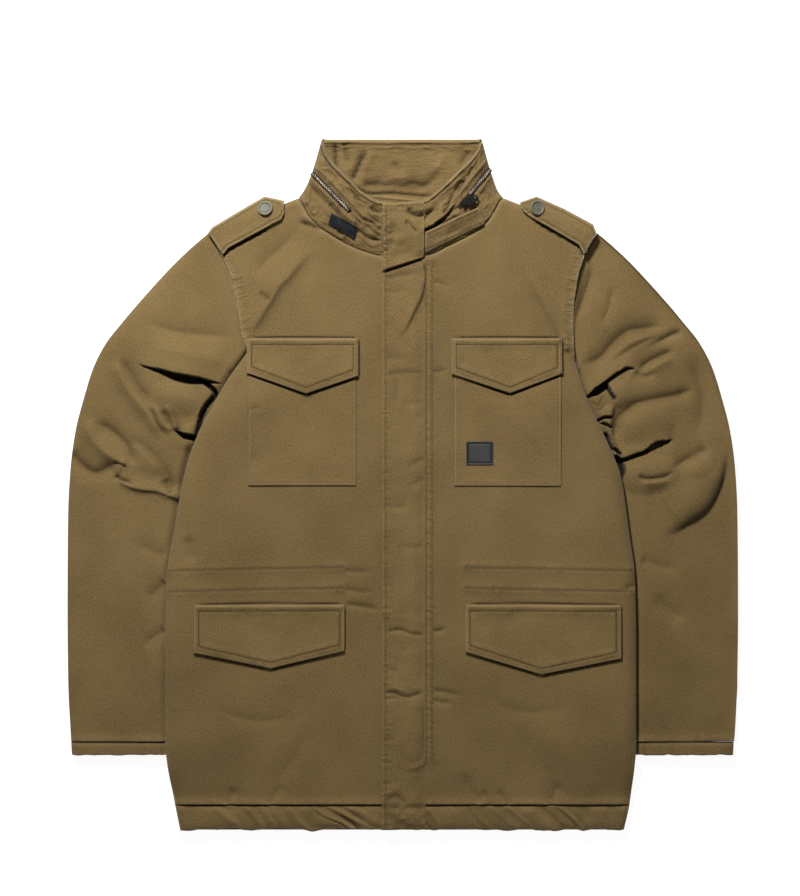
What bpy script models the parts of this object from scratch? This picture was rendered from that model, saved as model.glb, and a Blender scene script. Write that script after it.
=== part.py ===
"""Padded field jacket laid flat on its back, collar towards +Y and front facing +Z.

Right and left are the wearer's, so the right side lies at -X. Tables and sizes are in
millimetres, and become metres where a mesh is made.
"""

from collections import namedtuple
from math import cos, pi, radians, sin, sqrt

import bmesh
import bpy
from mathutils import Matrix, Vector
from mathutils.bvhtree import BVHTree

MM = 0.001
RIGHT, LEFT = -1, 1
SIDES = ((RIGHT, "right"), (LEFT, "left"))
FRONT, BACK = 1, -1

# Cloth and layers
SEAM = 0.3              # gap between neighbouring pieces
BODY_HEIGHT = 18.5      # padded back and front, one on the other
LAYER_GAP = 0.4         # between the back and the front
HALF = BODY_HEIGHT / 2
WALL = HALF - LAYER_GAP / 2
FLAP = 2.5              # faced flaps and straps
POCKET = 1.8            # single cloth of a patch pocket
PLACKET = 3.5           # folded storm fly

# Where the body lies on the inner edges of the sleeves
EDGE_LIFT = 13.0        # how far a sleeve raises the body's side
LIFT_FLAT = 24.0        # width that is raised fully
LIFT_FALL = 31.0        # width over which it comes down again
LAYER_SLACK = 1.8       # extra room between the layers on that slope
TUCK = 28.0             # how far a sleeve reaches under the body
TUCKED_HEIGHT = 11.5    # height of the sleeve there

# Landmarks
SHOULDER_Y = 314.0      # shoulder point, at the top of the armhole
ARMPIT_Y = 166.0
HEM_SEAM_Y = -400.0
HEM_Y = -432.0
CUFF_SEAM_Y = -321.7
CUFF_Y = -338.0
CENTRE_X = -12.0        # where the fronts meet, under the storm fly
BACK_NECK_Y = 345.0

Edge = namedtuple("Edge", "y right left")
# Half widths of the armhole seam, which runs straight between these places
ARMHOLE = [
    Edge(314, 243, 242), Edge(311, 241, 240.3), Edge(305, 237, 236.8), Edge(284, 225.5, 226),
    Edge(254, 212.5, 218.6), Edge(222, 206.2, 214.2), Edge(195, 202.5, 213.3),
    Edge(175, 196, 214), Edge(166, 193, 214.5),
]
# Half widths of the folded side below the armpit, as a smooth curve
BODY_SIDE = [
    Edge(166, 193, 214.5), Edge(150, 205, 217), Edge(124, 222, 224), Edge(98, 237, 234),
    Edge(72, 251, 246), Edge(43, 263, 260), Edge(8, 273, 273), Edge(-53, 284, 282),
    Edge(-118, 294, 290), Edge(-188, 295.5, 291.5), Edge(-324, 295.5, 291.5),
    Edge(-350, 293, 289.5), Edge(-400, 284.5, 284), Edge(-432, 278, 277),
]
# Front neck seam, from the shoulder to the centre front
NECK = [
    Edge(358, 130, 126.5), Edge(354, 127.5, 121.5), Edge(347, 123.5, 117.5),
    Edge(336, 117.5, 111.5), Edge(323, 105.5, 100.5), Edge(310, 87, 82), Edge(297, 63, 55.5),
    Edge(287, 35, 33), Edge(283, 12, -11.7),
]
Corner = namedtuple("Corner", "right_x right_y left_x left_y arch")
# Upper edge of the collar's front wings, and how far each stretch arches up
WING_TOP = [
    Corner(101, 432, 99, 432, 0), Corner(99.5, 420, 96.5, 421, 0), Corner(96, 403, 88, 404.5, 0.05),
    Corner(88, 393, 80, 394, 0.2), Corner(77, 383, 70, 383, 0.5), Corner(62, 373, 59, 372.5, 0.85),
    Corner(46, 362, 45, 361, 1), Corner(30, 354.5, 30, 354, 0.8), Corner(12, 352, -11.7, 351.5, 0.5),
]
Fold = namedtuple("Fold", "height right_x right_y left_x left_y")
# Folded side of the collar, from the neck seam up
COLLAR_SIDE = [
    Fold(0, 130, 358, 126.5, 358), Fold(0.2, 122.5, 369, 119.5, 367),
    Fold(0.5, 113, 391, 110, 393), Fold(1, 101, 432, 99, 432),
]
WING_ARCH = 8.64
ARCH_TOP = 0.75             # share of a wing's height past which it stays up
COLLAR_ROWS = [0, 0.15, 0.35, 0.6, 0.8, 1]
COLLAR_SHARES = [0.975, 0.93, 0.84, 2 / 3, 1 / 3]   # columns over half of the collar's back

Row = namedtuple("Row", "outer inner")
# Rows of a front: the y of its armhole or side end, and of its neck or centre end
FRONT_ROWS = [
    Row(314, 358), Row(311, 354), Row(305, 347), Row(295, 336), Row(284, 323), Row(269, 310),
    Row(254, 297), Row(238, 287), Row(222, 283), Row(195, 262), Row(175, 240), Row(166, 215),
    Row(156, 199.5), Row(146, 184), Row(124, 152), Row(98, 120), Row(72, 86), Row(43, 50), Row(8, 10),
    Row(-35, -35), Row(-85, -85), Row(-140, -140), Row(-190, -190), Row(-257, -257),
    Row(-324, -324), Row(-348, -348), Row(-372, -372), Row(-400, -400),
]
SIDE_INSETS = [0, 3, 9, 24, 40, 55]         # columns along a folded side
FRONT_SHARES = [0.25, 0.5, 0.75, 1]         # columns over the rest of a front
BACK_SHARES = [2 / 3, 1 / 3]                # columns between the back's neck point and centre

Station = namedtuple("Station", "out_x out_y in_y height")
# Sections of a sleeve, from the armhole to the cuff seam
SLEEVE = [
    Station(243, 314, 166, 18.5), Station(264, 296, 158, 19), Station(285, 276, 147, 20),
    Station(321, 237, 128, 21), Station(350, 203, 104, 22), Station(371, 176, 82, 23),
    Station(386, 147, 60, 23), Station(399, 106, 34, 22), Station(409, 66, 6, 22),
    Station(415, 22, -24, 21), Station(418, -30, -62, 21), Station(418.8, -90, -110, 20),
    Station(419, -160, -166, 20), Station(418.2, -245, -245, 19),
    Station(414.5, -321.7, -321.7, 18),
]
CUFF = [
    Station(414.5, -322, -322, 17), Station(414.2, -331, -331, 17), Station(413.8, -338, -338, 15),
]
INNER_INSETS = [0, 3, 9, 30]                # columns along a sleeve's inner edge
SLEEVE_SHARES = [0.38, 0.6, 0.8]            # columns across its middle
OUTER_INSETS = [9, 3, 0]                    # columns along its outer edge
SEAM_YS = [166, 169, 175, 195, 222, 254, 284, 305, 311, 314]    # where they meet the armhole
SLEEVE_HOLLOW = 2.0                         # slack inside a sleeve that lies flat
SEAM_FADE = 3                               # stations over which the armhole's bow fades

Crease = namedtuple("Crease", "x0 y0 x1 y1 width height")
# Largest folds, as soft ridges (height above 0) and troughs (below 0)
CREASES = [
    Crease(-105, 290, -162, 234, 16, 3.0), Crease(-162, 234, -195, 186, 14, 2.5),
    Crease(125, 300, 168, 240, 16, 3.0), Crease(168, 240, 204, 180, 14, 2.5),
    Crease(-345, 150, -225, 128, 18, -4.0), Crease(-335, 180, -220, 160, 22, 3.5),
    Crease(-356, 160, -312, 84, 16, -2.5), Crease(-405, 30, -320, 10, 20, -3.0),
    Crease(-380, 62, -330, 34, 18, 2.5), Crease(295, 145, 232, 108, 18, -4.0),
    Crease(335, 196, 240, 160, 22, 3.5), Crease(340, 50, 268, 28, 18, -3.5),
    Crease(410, 38, 335, -62, 24, 4.0), Crease(370, 110, 275, 72, 20, 2.5),
]

Flap = namedtuple("Flap", "x0 x1 top low0 tip_x tip_y low1")
CHEST_FLAPS = {
    RIGHT: Flap(-194, -54.5, 182.6, 139, -120, 113, 135.5),
    LEFT: Flap(60.5, 199, 182.6, 138, 134, 113.5, 138),
}
LOWER_FLAPS = {
    RIGHT: Flap(-259.5, -72, -149.5, -209, -164.5, -229.5, -207.5),
    LEFT: Flap(78, 272, -149.5, -208.5, 173, -237, -216),
}
Pocket = namedtuple("Pocket", "x0 x1 top low")
CHEST_POCKETS = {RIGHT: Pocket(-192, -58, 181, -1.5), LEFT: Pocket(64.5, 197.5, 181, -2)}
Strap = namedtuple("Strap", "high_x high_y low_x low_y")
EPAULETTES = {
    RIGHT: [
        Strap(-242.5, 314, -223.5, 286), Strap(-237.5, 321, -217, 294.5),
        Strap(-205, 341, -184, 312.5), Strap(-173, 360.5, -160, 325.5),
        Strap(-160, 357.2, -151, 330), Strap(-147.5, 354, -147.5, 338.5),
    ],
    LEFT: [
        Strap(242, 313.5, 226.4, 286), Strap(238, 325, 220, 298.6),
        Strap(201, 345.5, 185, 319), Strap(168, 360.5, 158, 334.5),
        Strap(157, 356, 151, 340), Strap(146.5, 352, 147.5, 345.5),
    ],
}
SETTLE_STEPS, SETTLE_PASSES = 6, 6
EPAULETTE_BEND = 0.02       # how fast an epaulette bends down past the shoulder, per mm
BUTTONS = {RIGHT: (-170.8, 343.3), LEFT: (166.6, 344.4)}
BUTTON_RADIUS = 9.5
BUTTON_PROFILE = [(0, 2.2), (6.2, 2.2), (7.2, 3.0), (8.6, 3.0), (BUTTON_RADIUS, 2.2),
                  (BUTTON_RADIUS, 1.0), (8.6, 0.2), (0, 0)]     # radius and height of its section
FLY_COLUMNS = [-25.6, -12, 10, 27]
FLY_ROWS = [281, 262, 240, 215, 190, 162, 134, 106, 78, 50, 22, -6, -35, -65, -100, -140, -180,
            -220, -260, -300, -340, -372, -398, -421, -431.5]
COLLAR_FLY = [((-25.5, 350.5), (27.2, 353)), ((-23.5, 267), (27.3, 284))]   # upper, lower edge
COLLAR_TAB = [((28.2, 314.5), (95, 345.6)), ((28.4, 288), (102.4, 324.5))]  # upper, lower edge
HOOK_PATCH = [((-88.4, 338.2), (-55.4, 319.9)), ((-92.6, 324.5), (-60, 305.2))]
CHEST_PATCH = [((79.6, 53.5), (113, 53.5)), ((79.6, 24.5), (113, 24.5))]
ZIP_GUARD = [((-36, 362), (27, 355.5)), ((-34, 330), (25, 328))]
ZIPS = {RIGHT: ((-112, 387.5), (-66.4, 341)), LEFT: ((108.6, 391.6), (70, 345))}
ZIP_WIDTH = 6.0
ZIP_THICK, PATCH_THICK, HOOK_THICK, GUARD_THICK = 1.2, 1.2, 1.4, 2.0

# Zip slider and the tab that hinges on it
SLIDER_AT = (77.5, 351.0)
SLIDER_SIZE = (10.0, 8.0, 3.0)
SLIDER_BEVEL = 0.8
EAR_SIZE = (1.2, 2.4, 4.4)
EAR_APART, EAR_DROP = 3.0, 1.4      # from the hinge to an ear's middle
ZIP_TURN = radians(46)
TAB_TURN = radians(27)
TAB_DIP = radians(12)
TAB_LENGTH, TAB_WIDTH, TAB_THICK = 21.0, 9.0, 1.4
PIN_RADIUS, EYE_BORE, EYE_RADIUS = 0.8, 1.15, 2.0
PIN_LENGTH, EYE_LENGTH = 6.4, 4.2
EYE_CLEAR = 0.8
PIN_INSET = 3.0             # how far the pin stands behind the slider's middle
TAB_START = 3.2             # where the plate starts, from the hinge
TAB_CORNER = 2.2
TAB_NECK = 4.6
SLOT_SIZE = (4.4, 2.2)
SLOT_INSET = 3.6            # from the tab's free end to the slot's middle
CUTTER_LENGTH = 12.0

Finish = namedtuple("Finish", "name colour roughness metallic")
OLIVE = Finish("olive_canvas", (0.205, 0.141, 0.060), 0.85, 0.0)
HOOKS = Finish("hook_and_loop", (0.018, 0.018, 0.020), 0.95, 0.0)
HIDE = Finish("dark_leather", (0.045, 0.042, 0.038), 0.55, 0.0)
TEETH = Finish("zip_teeth", (0.30, 0.24, 0.19), 0.40, 1.0)
BLACK_METAL = Finish("black_metal", (0.012, 0.012, 0.012), 0.35, 0.8)
HORN = Finish("button_grey", (0.210, 0.205, 0.160), 0.50, 0.0)

parts = bpy.data.collections.new("field_jacket")


def clamp(value, low=0.0, high=1.0):
    """Keep a value between two limits."""
    return max(low, min(high, value))


def ease(value):
    """Soft step from 0 to 1."""
    value = clamp(value)
    return value * value * (3 - 2 * value)


def mix(start, end, share):
    """Point or number part of the way from one to another."""
    return start + (end - start) * share


def quarter(distance, radius=HALF):
    """Height of a rounded fold, from 0 at its edge to 1 past its radius."""
    return sqrt(1 - (1 - clamp(distance / radius)) ** 2)


def smooth(keys, values, at):
    """Value at a key on a smooth curve through the points, which never overshoots them."""
    last = len(keys) - 1
    i = 0
    while i < last - 1 and at > keys[i + 1]:
        i += 1

    def slope(k):
        return (values[k + 1] - values[k]) / (keys[k + 1] - keys[k])

    def tangent(k):
        if k in (0, last):
            return slope(min(k, last - 1))
        before, after = slope(k - 1), slope(k)
        return 0 if before * after <= 0 else 2 * before * after / (before + after)

    span = keys[i + 1] - keys[i]
    t = clamp((at - keys[i]) / span)
    bend_out = t * (1 - t) ** 2 * span * tangent(i)
    bend_in = t * t * (1 - t) * span * tangent(i + 1)
    return mix(values[i], values[i + 1], ease(t)) + bend_out - bend_in


def straight(rows, side, y):
    """Half width of an outline that runs straight between its rows."""
    widths = [row.right if side == RIGHT else row.left for row in rows]
    i = 0
    while i < len(rows) - 2 and y < rows[i + 1].y:
        i += 1
    return mix(widths[i], widths[i + 1], clamp((rows[i].y - y) / (rows[i].y - rows[i + 1].y)))


def body_edge(side, y):
    """Half width of the body at a height: its armhole seam, or its folded side."""
    if y >= ARMPIT_Y:
        return straight(ARMHOLE, side, y)
    depths = [-row.y for row in BODY_SIDE]
    widths = [row.right if side == RIGHT else row.left for row in BODY_SIDE]
    return smooth(depths, widths, -y)


def creases(x, y):
    """Height that the largest folds add to the cloth's upper side."""
    total = 0.0
    for fold in CREASES:
        run = Vector((fold.x1 - fold.x0, fold.y1 - fold.y0))
        here = Vector((x - fold.x0, y - fold.y0))
        share = clamp(here.dot(run) / run.length_squared)
        away = (here - run * share).length / fold.width
        total += fold.height * ease(1 - away / 2)
    return total


def lift(x, y):
    """Height of the body's underside, raised where it lies on a sleeve."""
    side = RIGHT if x < 0 else LEFT
    inside = body_edge(side, y) - abs(x)
    across = 1 - ease((inside - LIFT_FLAT) / LIFT_FALL)
    along = ease((175 - y) / 50) * ease((y + 392) / 45)
    return EDGE_LIFT * across * along


def shoulder_y(side, x):
    """Height of the folded shoulder line above a point."""
    neck_x = NECK[0].right if side == RIGHT else NECK[0].left
    tip_x = ARMHOLE[0].right if side == RIGHT else ARMHOLE[0].left
    return mix(SHOULDER_Y, NECK[0].y, (tip_x - abs(x)) / (tip_x - neck_x))


def turn_in(distance):
    """How far a wall's inner side stands in from its outer side, near a folded edge."""
    return WALL * (1 - clamp(distance / 30))


def body_skin(x, y, face):
    """Outer and inner point of the back or front, for a place on its outline's plan."""
    side = RIGHT if x < 0 else LEFT
    from_side = body_edge(side, y) - abs(x)
    from_shoulder = max(0.0, shoulder_y(side, x) - y)
    folded = ease((ARMPIT_Y - y) / 14)
    roundness = (1 - folded * (1 - quarter(from_side))) * quarter(from_shoulder)
    rise = face * (SEAM / 2 + (HALF - SEAM / 2) * roundness)
    if face == FRONT:
        rise += creases(x, y) * roundness * ease(from_side / 25)
    outer = Vector((x, y, lift(x, y) + HALF + rise))

    inner_y = y - turn_in(from_shoulder)
    inner_side = body_edge(side, inner_y) - from_side
    inner_x = side * (inner_side - folded * turn_in(from_side))
    gap = LAYER_GAP / 2
    if face == FRONT:
        raised = lift(inner_x, inner_y) / EDGE_LIFT
        sloping = 4 * raised * (1 - raised) * ease(from_side / 9)
        gap += LAYER_SLACK * (sloping + raised * ease(from_side / 25))
    inner = Vector((inner_x, inner_y, lift(inner_x, inner_y) + HALF + face * gap))
    return outer, inner


def make_material(finish):
    """Principled material of a finish, made once."""
    found = bpy.data.materials.get(finish.name)
    if found:
        return found
    made = bpy.data.materials.new(finish.name)
    made.use_nodes = True
    shader = made.node_tree.nodes["Principled BSDF"]
    shader.inputs["Base Color"].default_value = (*finish.colour, 1)
    shader.inputs["Roughness"].default_value = finish.roughness
    shader.inputs["Metallic"].default_value = finish.metallic
    made.diffuse_color = (*finish.colour, 1)
    return made


def add_object(name, work, finish, smooth_angle=40):
    """Turn a bmesh into a named object of the jacket's collection."""
    bmesh.ops.recalc_face_normals(work, faces=work.faces[:])
    mesh = bpy.data.meshes.new(name)
    work.to_mesh(mesh)
    work.free()
    mesh.materials.append(make_material(finish))
    mesh.shade_smooth()
    mesh.set_sharp_from_angle(angle=radians(smooth_angle))
    made = bpy.data.objects.new(name, mesh)
    parts.objects.link(made)
    return made


def cloth(name, columns, rows, skin, finish=OLIVE):
    """One closed piece of cloth. skin(i, j) gives the outer and inner point of a grid place."""
    work = bmesh.new()
    bmesh.ops.create_grid(work, x_segments=columns, y_segments=rows, size=0.5)
    outer = work.verts[:]
    border = [edge for edge in work.edges if edge.is_boundary]
    twin = bmesh.ops.duplicate(work, geom=work.faces[:])["vert_map"]
    places = {}
    for vert in outer:
        i = round((vert.co.x + 0.5) * columns)
        j = round((vert.co.y + 0.5) * rows)
        places[vert] = (i, j, 0)
        places[twin[vert]] = (i, j, 1)
    for edge in border:
        first, second = edge.verts
        work.faces.new((first, second, twin[second], twin[first]))
    for vert, (i, j, layer) in places.items():
        vert.co = skin(i, j)[layer] * MM
    bmesh.ops.triangulate(work, faces=work.faces[:], quad_method="FIXED")
    return add_object(name, work, finish)


FRONT_COLUMNS = len(SIDE_INSETS) + len(FRONT_SHARES) - 1


def front_place(side, i, outer_y, inner_y):
    """Place on a front: i counts from the right-hand end of a row, so that the cells of
    both fronts are split as those of the back are."""
    step = i if side == RIGHT else FRONT_COLUMNS - i
    wide = body_edge(side, outer_y)
    if inner_y >= NECK[-1].y:
        inner_x = straight(NECK, side, inner_y)
    else:
        inner_x = NECK[-1].right if side == RIGHT else NECK[-1].left
    if step < len(SIDE_INSETS):
        x = wide - SIDE_INSETS[step]
    else:
        x = mix(wide - SIDE_INSETS[-1], inner_x, FRONT_SHARES[step - len(SIDE_INSETS)])
    return side * x, mix(outer_y, inner_y, (wide - x) / (wide - inner_x))


def make_front(name, side):
    """Front of one side, from the shoulder down to the hem seam."""
    def skin(i, j):
        row = FRONT_ROWS[j]
        return body_skin(*front_place(side, i, row.outer, row.inner), FRONT)

    return cloth(name, FRONT_COLUMNS, len(FRONT_ROWS) - 1, skin)


def back_columns(side, wide):
    """Half widths of the back's columns from a side to the centre, at a row."""
    inset = SIDE_INSETS[-1]
    top = ARMHOLE[0].right if side == RIGHT else ARMHOLE[0].left
    neck = (NECK[0].right if side == RIGHT else NECK[0].left) / (top - inset)
    shares = [neck] + [neck * share for share in BACK_SHARES]
    return [wide - step for step in SIDE_INSETS] + [(wide - inset) * share for share in shares]


def back_neck_y(side, x):
    """Back neck seam, as straight runs between the back's columns."""
    neck = NECK[0].right if side == RIGHT else NECK[0].left
    share = abs(x) / neck
    knots = [1] + BACK_SHARES + [0]
    for i in range(len(knots) - 1):
        if share >= knots[i + 1]:
            curve = [mix(BACK_NECK_Y, NECK[0].y, knot ** 2) for knot in knots[i:i + 2]]
            return mix(*curve, clamp((knots[i] - share) / (knots[i] - knots[i + 1])))


def make_back():
    """Back in one piece, from the shoulders and neck down to the hem seam."""
    half_count = len(SIDE_INSETS) + 1 + len(BACK_SHARES)

    def skin(i, j):
        row = FRONT_ROWS[j]
        side = RIGHT if i < half_count else LEFT
        wide = body_edge(side, row.outer)
        columns = back_columns(side, wide) + [0]
        step = i if side == RIGHT else 2 * half_count - i
        x = columns[step]
        tops = back_columns(side, body_edge(side, SHOULDER_Y)) + [0]
        top_x = tops[step]
        neck = NECK[0].right if side == RIGHT else NECK[0].left
        top_y = shoulder_y(side, top_x) if top_x >= neck - 0.01 else back_neck_y(side, top_x)
        y = row.outer + (top_y - SHOULDER_Y) * ease((row.outer - 8) / (SHOULDER_Y - 8))
        return body_skin(side * x if x else 0.0, y, BACK)

    return cloth("back_panel", 2 * half_count, len(FRONT_ROWS) - 1, skin)


HEM_ROWS = [HEM_SEAM_Y - SEAM, -411, -422, HEM_Y]


def hem_turn(y):
    """How far the hem band thins towards its turned edge."""
    return 3.0 * ease((-422 - y) / 10)


def make_front_hem(name, side):
    """Hem band under one front."""
    def skin(i, j):
        y = HEM_ROWS[j]
        outer, inner = body_skin(*front_place(side, i, y, y), FRONT)
        outer.z = max(outer.z - hem_turn(y), HALF + SEAM / 2)
        return outer, inner

    return cloth(name, FRONT_COLUMNS, len(HEM_ROWS) - 1, skin)


def make_back_hem():
    """Hem band under the back."""
    half_count = len(SIDE_INSETS) + 1 + len(BACK_SHARES)

    def skin(i, j):
        y = HEM_ROWS[j]
        side = RIGHT if i < half_count else LEFT
        columns = back_columns(side, body_edge(side, y)) + [0]
        x = columns[i if side == RIGHT else 2 * half_count - i]
        return body_skin(side * x if x else 0.0, y, BACK)

    return cloth("hem_back", 2 * half_count, len(HEM_ROWS) - 1, skin)


def tuck(y):
    """How far a sleeve's inner edge lies under the body."""
    return TUCK * ease((140 - y) / 70)


def sleeve_plan(side, stations, k, share):
    """Place across a sleeve's section, from its inner edge (0) to its outer edge (1)."""
    station = stations[k]
    near_x = body_edge(side, station.in_y) + SEAM - tuck(station.in_y)
    near = Vector((side * near_x, station.in_y))
    place = mix(near, Vector((side * station.out_x, station.out_y)), share)
    if stations is SLEEVE and k < SEAM_FADE:
        seam_y = mix(ARMPIT_Y, SHOULDER_Y, share)
        chord_x = mix(body_edge(side, ARMPIT_Y), body_edge(side, SHOULDER_Y), share)
        bow = body_edge(side, seam_y) - chord_x
        place.x += side * bow * (1 - k / SEAM_FADE)
        if k == 0:
            place = Vector((side * (body_edge(side, seam_y) + SEAM), seam_y))
    return place


def section_height(station, along):
    """Thickness of a sleeve at a distance from its inner edge."""
    under = tuck(station.in_y)
    low = min(TUCKED_HEIGHT, station.height) if under > 0 else station.height
    return mix(low, station.height, ease((along - under) / 30))


def make_tube(name, side, stations):
    """Flattened tube of a sleeve or cuff, open at both ends, with a slit for its seam."""
    lower = [("near", inset) for inset in INNER_INSETS]
    lower += [("share", share) for share in SLEEVE_SHARES]
    lower += [("far", inset) for inset in OUTER_INSETS]
    ring = [(place, BACK) for place in lower] + [(place, FRONT) for place in lower[-2::-1]]

    def skin(i, k):
        (kind, value), face = ring[i]
        station = stations[k]
        near, far = [sleeve_plan(side, stations, k, share) for share in (0, 1)]
        width = (far - near).length
        along = {"near": value, "far": width - value, "share": value * width}[kind]
        if stations is SLEEVE and k == 0:
            seam_y = SEAM_YS[min(i, len(ring) - 1 - i)]
            along = width * (seam_y - ARMPIT_Y) / (SHOULDER_Y - ARMPIT_Y)
        spot = sleeve_plan(side, stations, k, along / width)
        reach = section_height(station, along) / 2
        roundness = quarter(along, reach) * quarter(width - along, reach)
        slit = SEAM / 2 if i in (0, len(ring) - 1) else 0
        height = reach + face * (slit + (reach - slit) * roundness)
        if face == FRONT:
            clear = ease((along - tuck(station.in_y)) / 15)
            height += creases(spot.x, spot.y) * roundness * clear
        outer = Vector((spot.x, spot.y, height))

        hollow = along + turn_in(along) - turn_in(width - along)
        spot = sleeve_plan(side, stations, k, hollow / width)
        slack = SLEEVE_HOLLOW / 2 * ease(along / 40) * ease((width - along) / 40)
        middle = section_height(station, hollow) / 2
        inner = Vector((spot.x, spot.y, middle + face * (LAYER_GAP / 2 + slack)))
        return outer, inner

    return cloth(name, len(ring) - 1, len(stations) - 1, skin)


def collar_fold(side, height):
    """Point on the collar's folded side, at a share of its height."""
    keys = [row.height for row in COLLAR_SIDE]
    xs = [row.right_x if side == RIGHT else row.left_x for row in COLLAR_SIDE]
    ys = [row.right_y if side == RIGHT else row.left_y for row in COLLAR_SIDE]
    return Vector((side * smooth(keys, xs, height), smooth(keys, ys, height)))


def wing_plan(side, k, height):
    """Point on a front wing: k counts along its neck seam from the folded side."""
    seam = NECK[k]
    seam_x = seam.right if side == RIGHT else seam.left
    if k < len(NECK) - 1:
        seam_x -= SEAM
    low = Vector((side * seam_x, seam.y + SEAM))
    top = WING_TOP[k]
    high = Vector((side * top.right_x, top.right_y) if side == RIGHT else (top.left_x, top.left_y))
    bow = collar_fold(side, height) - mix(collar_fold(side, 0), collar_fold(side, 1), height)
    return mix(low, high, height) + bow * ease(1 - k / 4)


def back_plan(side, share, height):
    """Point on the collar's back, from the folded side (share 1) to the centre (0)."""
    low_x = side * share * abs(collar_fold(side, 0).x) - side * SEAM * share
    low = Vector((low_x, back_neck_y(side, low_x) + SEAM))
    corner = collar_fold(side, 1)
    high = Vector((corner.x * share, corner.y))
    bow = collar_fold(side, height) - mix(collar_fold(side, 0), corner, height)
    return mix(low, high, height) + bow * ease((share - 0.5) / 0.5)


def wing_arch(k, height):
    """How far a wing stands up between its neck seam and its upper edge."""
    return WING_ARCH * WING_TOP[k].arch * sin(pi * min(height, ARCH_TOP))


def make_collar():
    """Stand collar laid flat: two front wings folded over its back at the sides."""
    wing = list(range(len(WING_TOP)))
    band = [(RIGHT, FRONT, k) for k in reversed(wing)]
    band += [(RIGHT, BACK, share) for share in COLLAR_SHARES] + [(RIGHT, BACK, 0)]
    band += [(LEFT, BACK, share) for share in reversed(COLLAR_SHARES)]
    band += [(LEFT, FRONT, k) for k in wing]

    def skin(i, j):
        side, face, place = band[i]
        height = COLLAR_ROWS[j]
        if face == FRONT:
            plan = wing_plan(side, place, height)
            arch = wing_arch(place, height)
        else:
            plan = back_plan(side, place, height)
            arch = 0
        inside = (plan - wing_plan(side, 0, height)).length
        outer = Vector((plan.x, plan.y, HALF + face * HALF * quarter(inside) + arch))
        inner = Vector((plan.x - side * turn_in(inside), plan.y, 0))
        inner.z = HALF + face * LAYER_GAP / 2 * clamp(inside / 5) + arch
        return outer, inner

    return cloth("collar", len(band) - 1, len(COLLAR_ROWS) - 1, skin)


def trees_of(carriers):
    """Ray-cast trees of the pieces that something lies on."""
    trees = []
    for carrier in carriers:
        verts = [vert.co for vert in carrier.data.vertices]
        faces = [face.vertices[:] for face in carrier.data.polygons]
        trees.append(BVHTree.FromPolygons(verts, faces))
    return trees


def top_at(trees, x, y, reach=2.0):
    """Highest point of the carriers at a place and just around it, or None."""
    found = []
    for dx, dy in ((0, 0), (reach, 0), (-reach, 0), (0, reach), (0, -reach)):
        start = Vector(((x + dx) * MM, (y + dy) * MM, 1))
        for tree in trees:
            hit = tree.ray_cast(start, Vector((0, 0, -1)))[0]
            if hit:
                found.append(hit.z / MM)
    return max(found) if found else None


def settle(plan, columns, rows, start, trees):
    """Heights of an overlay's underside: its start, raised until nothing pokes through."""
    low = {}
    for i in range(columns + 1):
        for j in range(rows + 1):
            low[i, j] = start(*plan(i, j))
    shares = [k / SETTLE_STEPS for k in range(SETTLE_STEPS + 1)]
    places = []
    for i in range(columns):
        for j in range(rows):
            corners = [(i, j), (i + 1, j), (i, j + 1), (i + 1, j + 1)]
            spots = [Vector(plan(*corner)) for corner in corners]
            for s in shares:
                for t in shares:
                    weights = [1 - max(s, t), max(0, s - t), max(0, t - s), min(s, t)]
                    x, y = sum((spot * w for spot, w in zip(spots, weights)), Vector((0, 0)))
                    top = top_at(trees, x, y, 1.5)
                    if top is not None:
                        places.append((corners, weights, top + SEAM))
    for _ in range(SETTLE_PASSES):
        for corners, weights, top in places:
            lack = top - sum(low[corner] * w for corner, w in zip(corners, weights))
            if lack > 0:
                spread = sum(w * w for w in weights)
                for corner, w in zip(corners, weights):
                    low[corner] += lack * w / spread
    return low


def overlay(name, columns, rows, plan, carriers, thick, finish=OLIVE, start=None):
    """Cloth that lies on other pieces: its underside is their points, moved out."""
    trees = trees_of(carriers)

    def lying(x, y):
        return top_at(trees, x, y) + SEAM

    low = settle(plan, columns, rows, start or lying, trees)

    def skin(i, j):
        x, y = plan(i, j)
        return Vector((x, y, low[i, j] + thick)), Vector((x, y, low[i, j]))

    return cloth(name, columns, rows, skin, finish)


def between(edges, columns, rows):
    """Plan of a four-sided patch, given by its upper and its lower edge."""
    (a, b), (c, d) = [[Vector(point) for point in edge] for edge in edges]

    def plan(i, j):
        return mix(mix(a, b, i / columns), mix(c, d, i / columns), j / rows)

    return plan


def make_flap(name, flap, carriers, columns=8, rows=3):
    """Pocket flap with a pointed lower edge."""
    def plan(i, j):
        x = mix(flap.x0, flap.x1, i / columns)
        if abs(x - flap.tip_x) < (flap.x1 - flap.x0) / columns / 2:
            x = flap.tip_x
        if x <= flap.tip_x:
            low = mix(flap.low0, flap.tip_y, (x - flap.x0) / (flap.tip_x - flap.x0))
        else:
            low = mix(flap.tip_y, flap.low1, (x - flap.tip_x) / (flap.x1 - flap.tip_x))
        return x, mix(flap.top, low, j / rows)

    return overlay(name, columns, rows, plan, carriers, FLAP)


def make_pocket(name, pocket, carriers, columns=7, rows=7):
    """Patch pocket's bag."""
    edges = [((pocket.x0, pocket.top), (pocket.x1, pocket.top)),
             ((pocket.x0, pocket.low), (pocket.x1, pocket.low))]
    return overlay(name, columns, rows, between(edges, columns, rows), carriers, POCKET)


def make_epaulette(name, side, carriers, rows=4):
    """Shoulder strap, which bends down past the shoulder."""
    sections = EPAULETTES[side]

    def plan(i, j):
        strap = sections[i]
        return mix(strap.high_x, strap.low_x, j / rows), mix(strap.high_y, strap.low_y, j / rows)

    def start(x, y):
        past = max(0.0, y - shoulder_y(side, x) + 6)
        return BODY_HEIGHT + SEAM - EPAULETTE_BEND * past ** 2

    return overlay(name, len(sections) - 1, rows, plan, carriers, FLAP, start=start)


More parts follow.
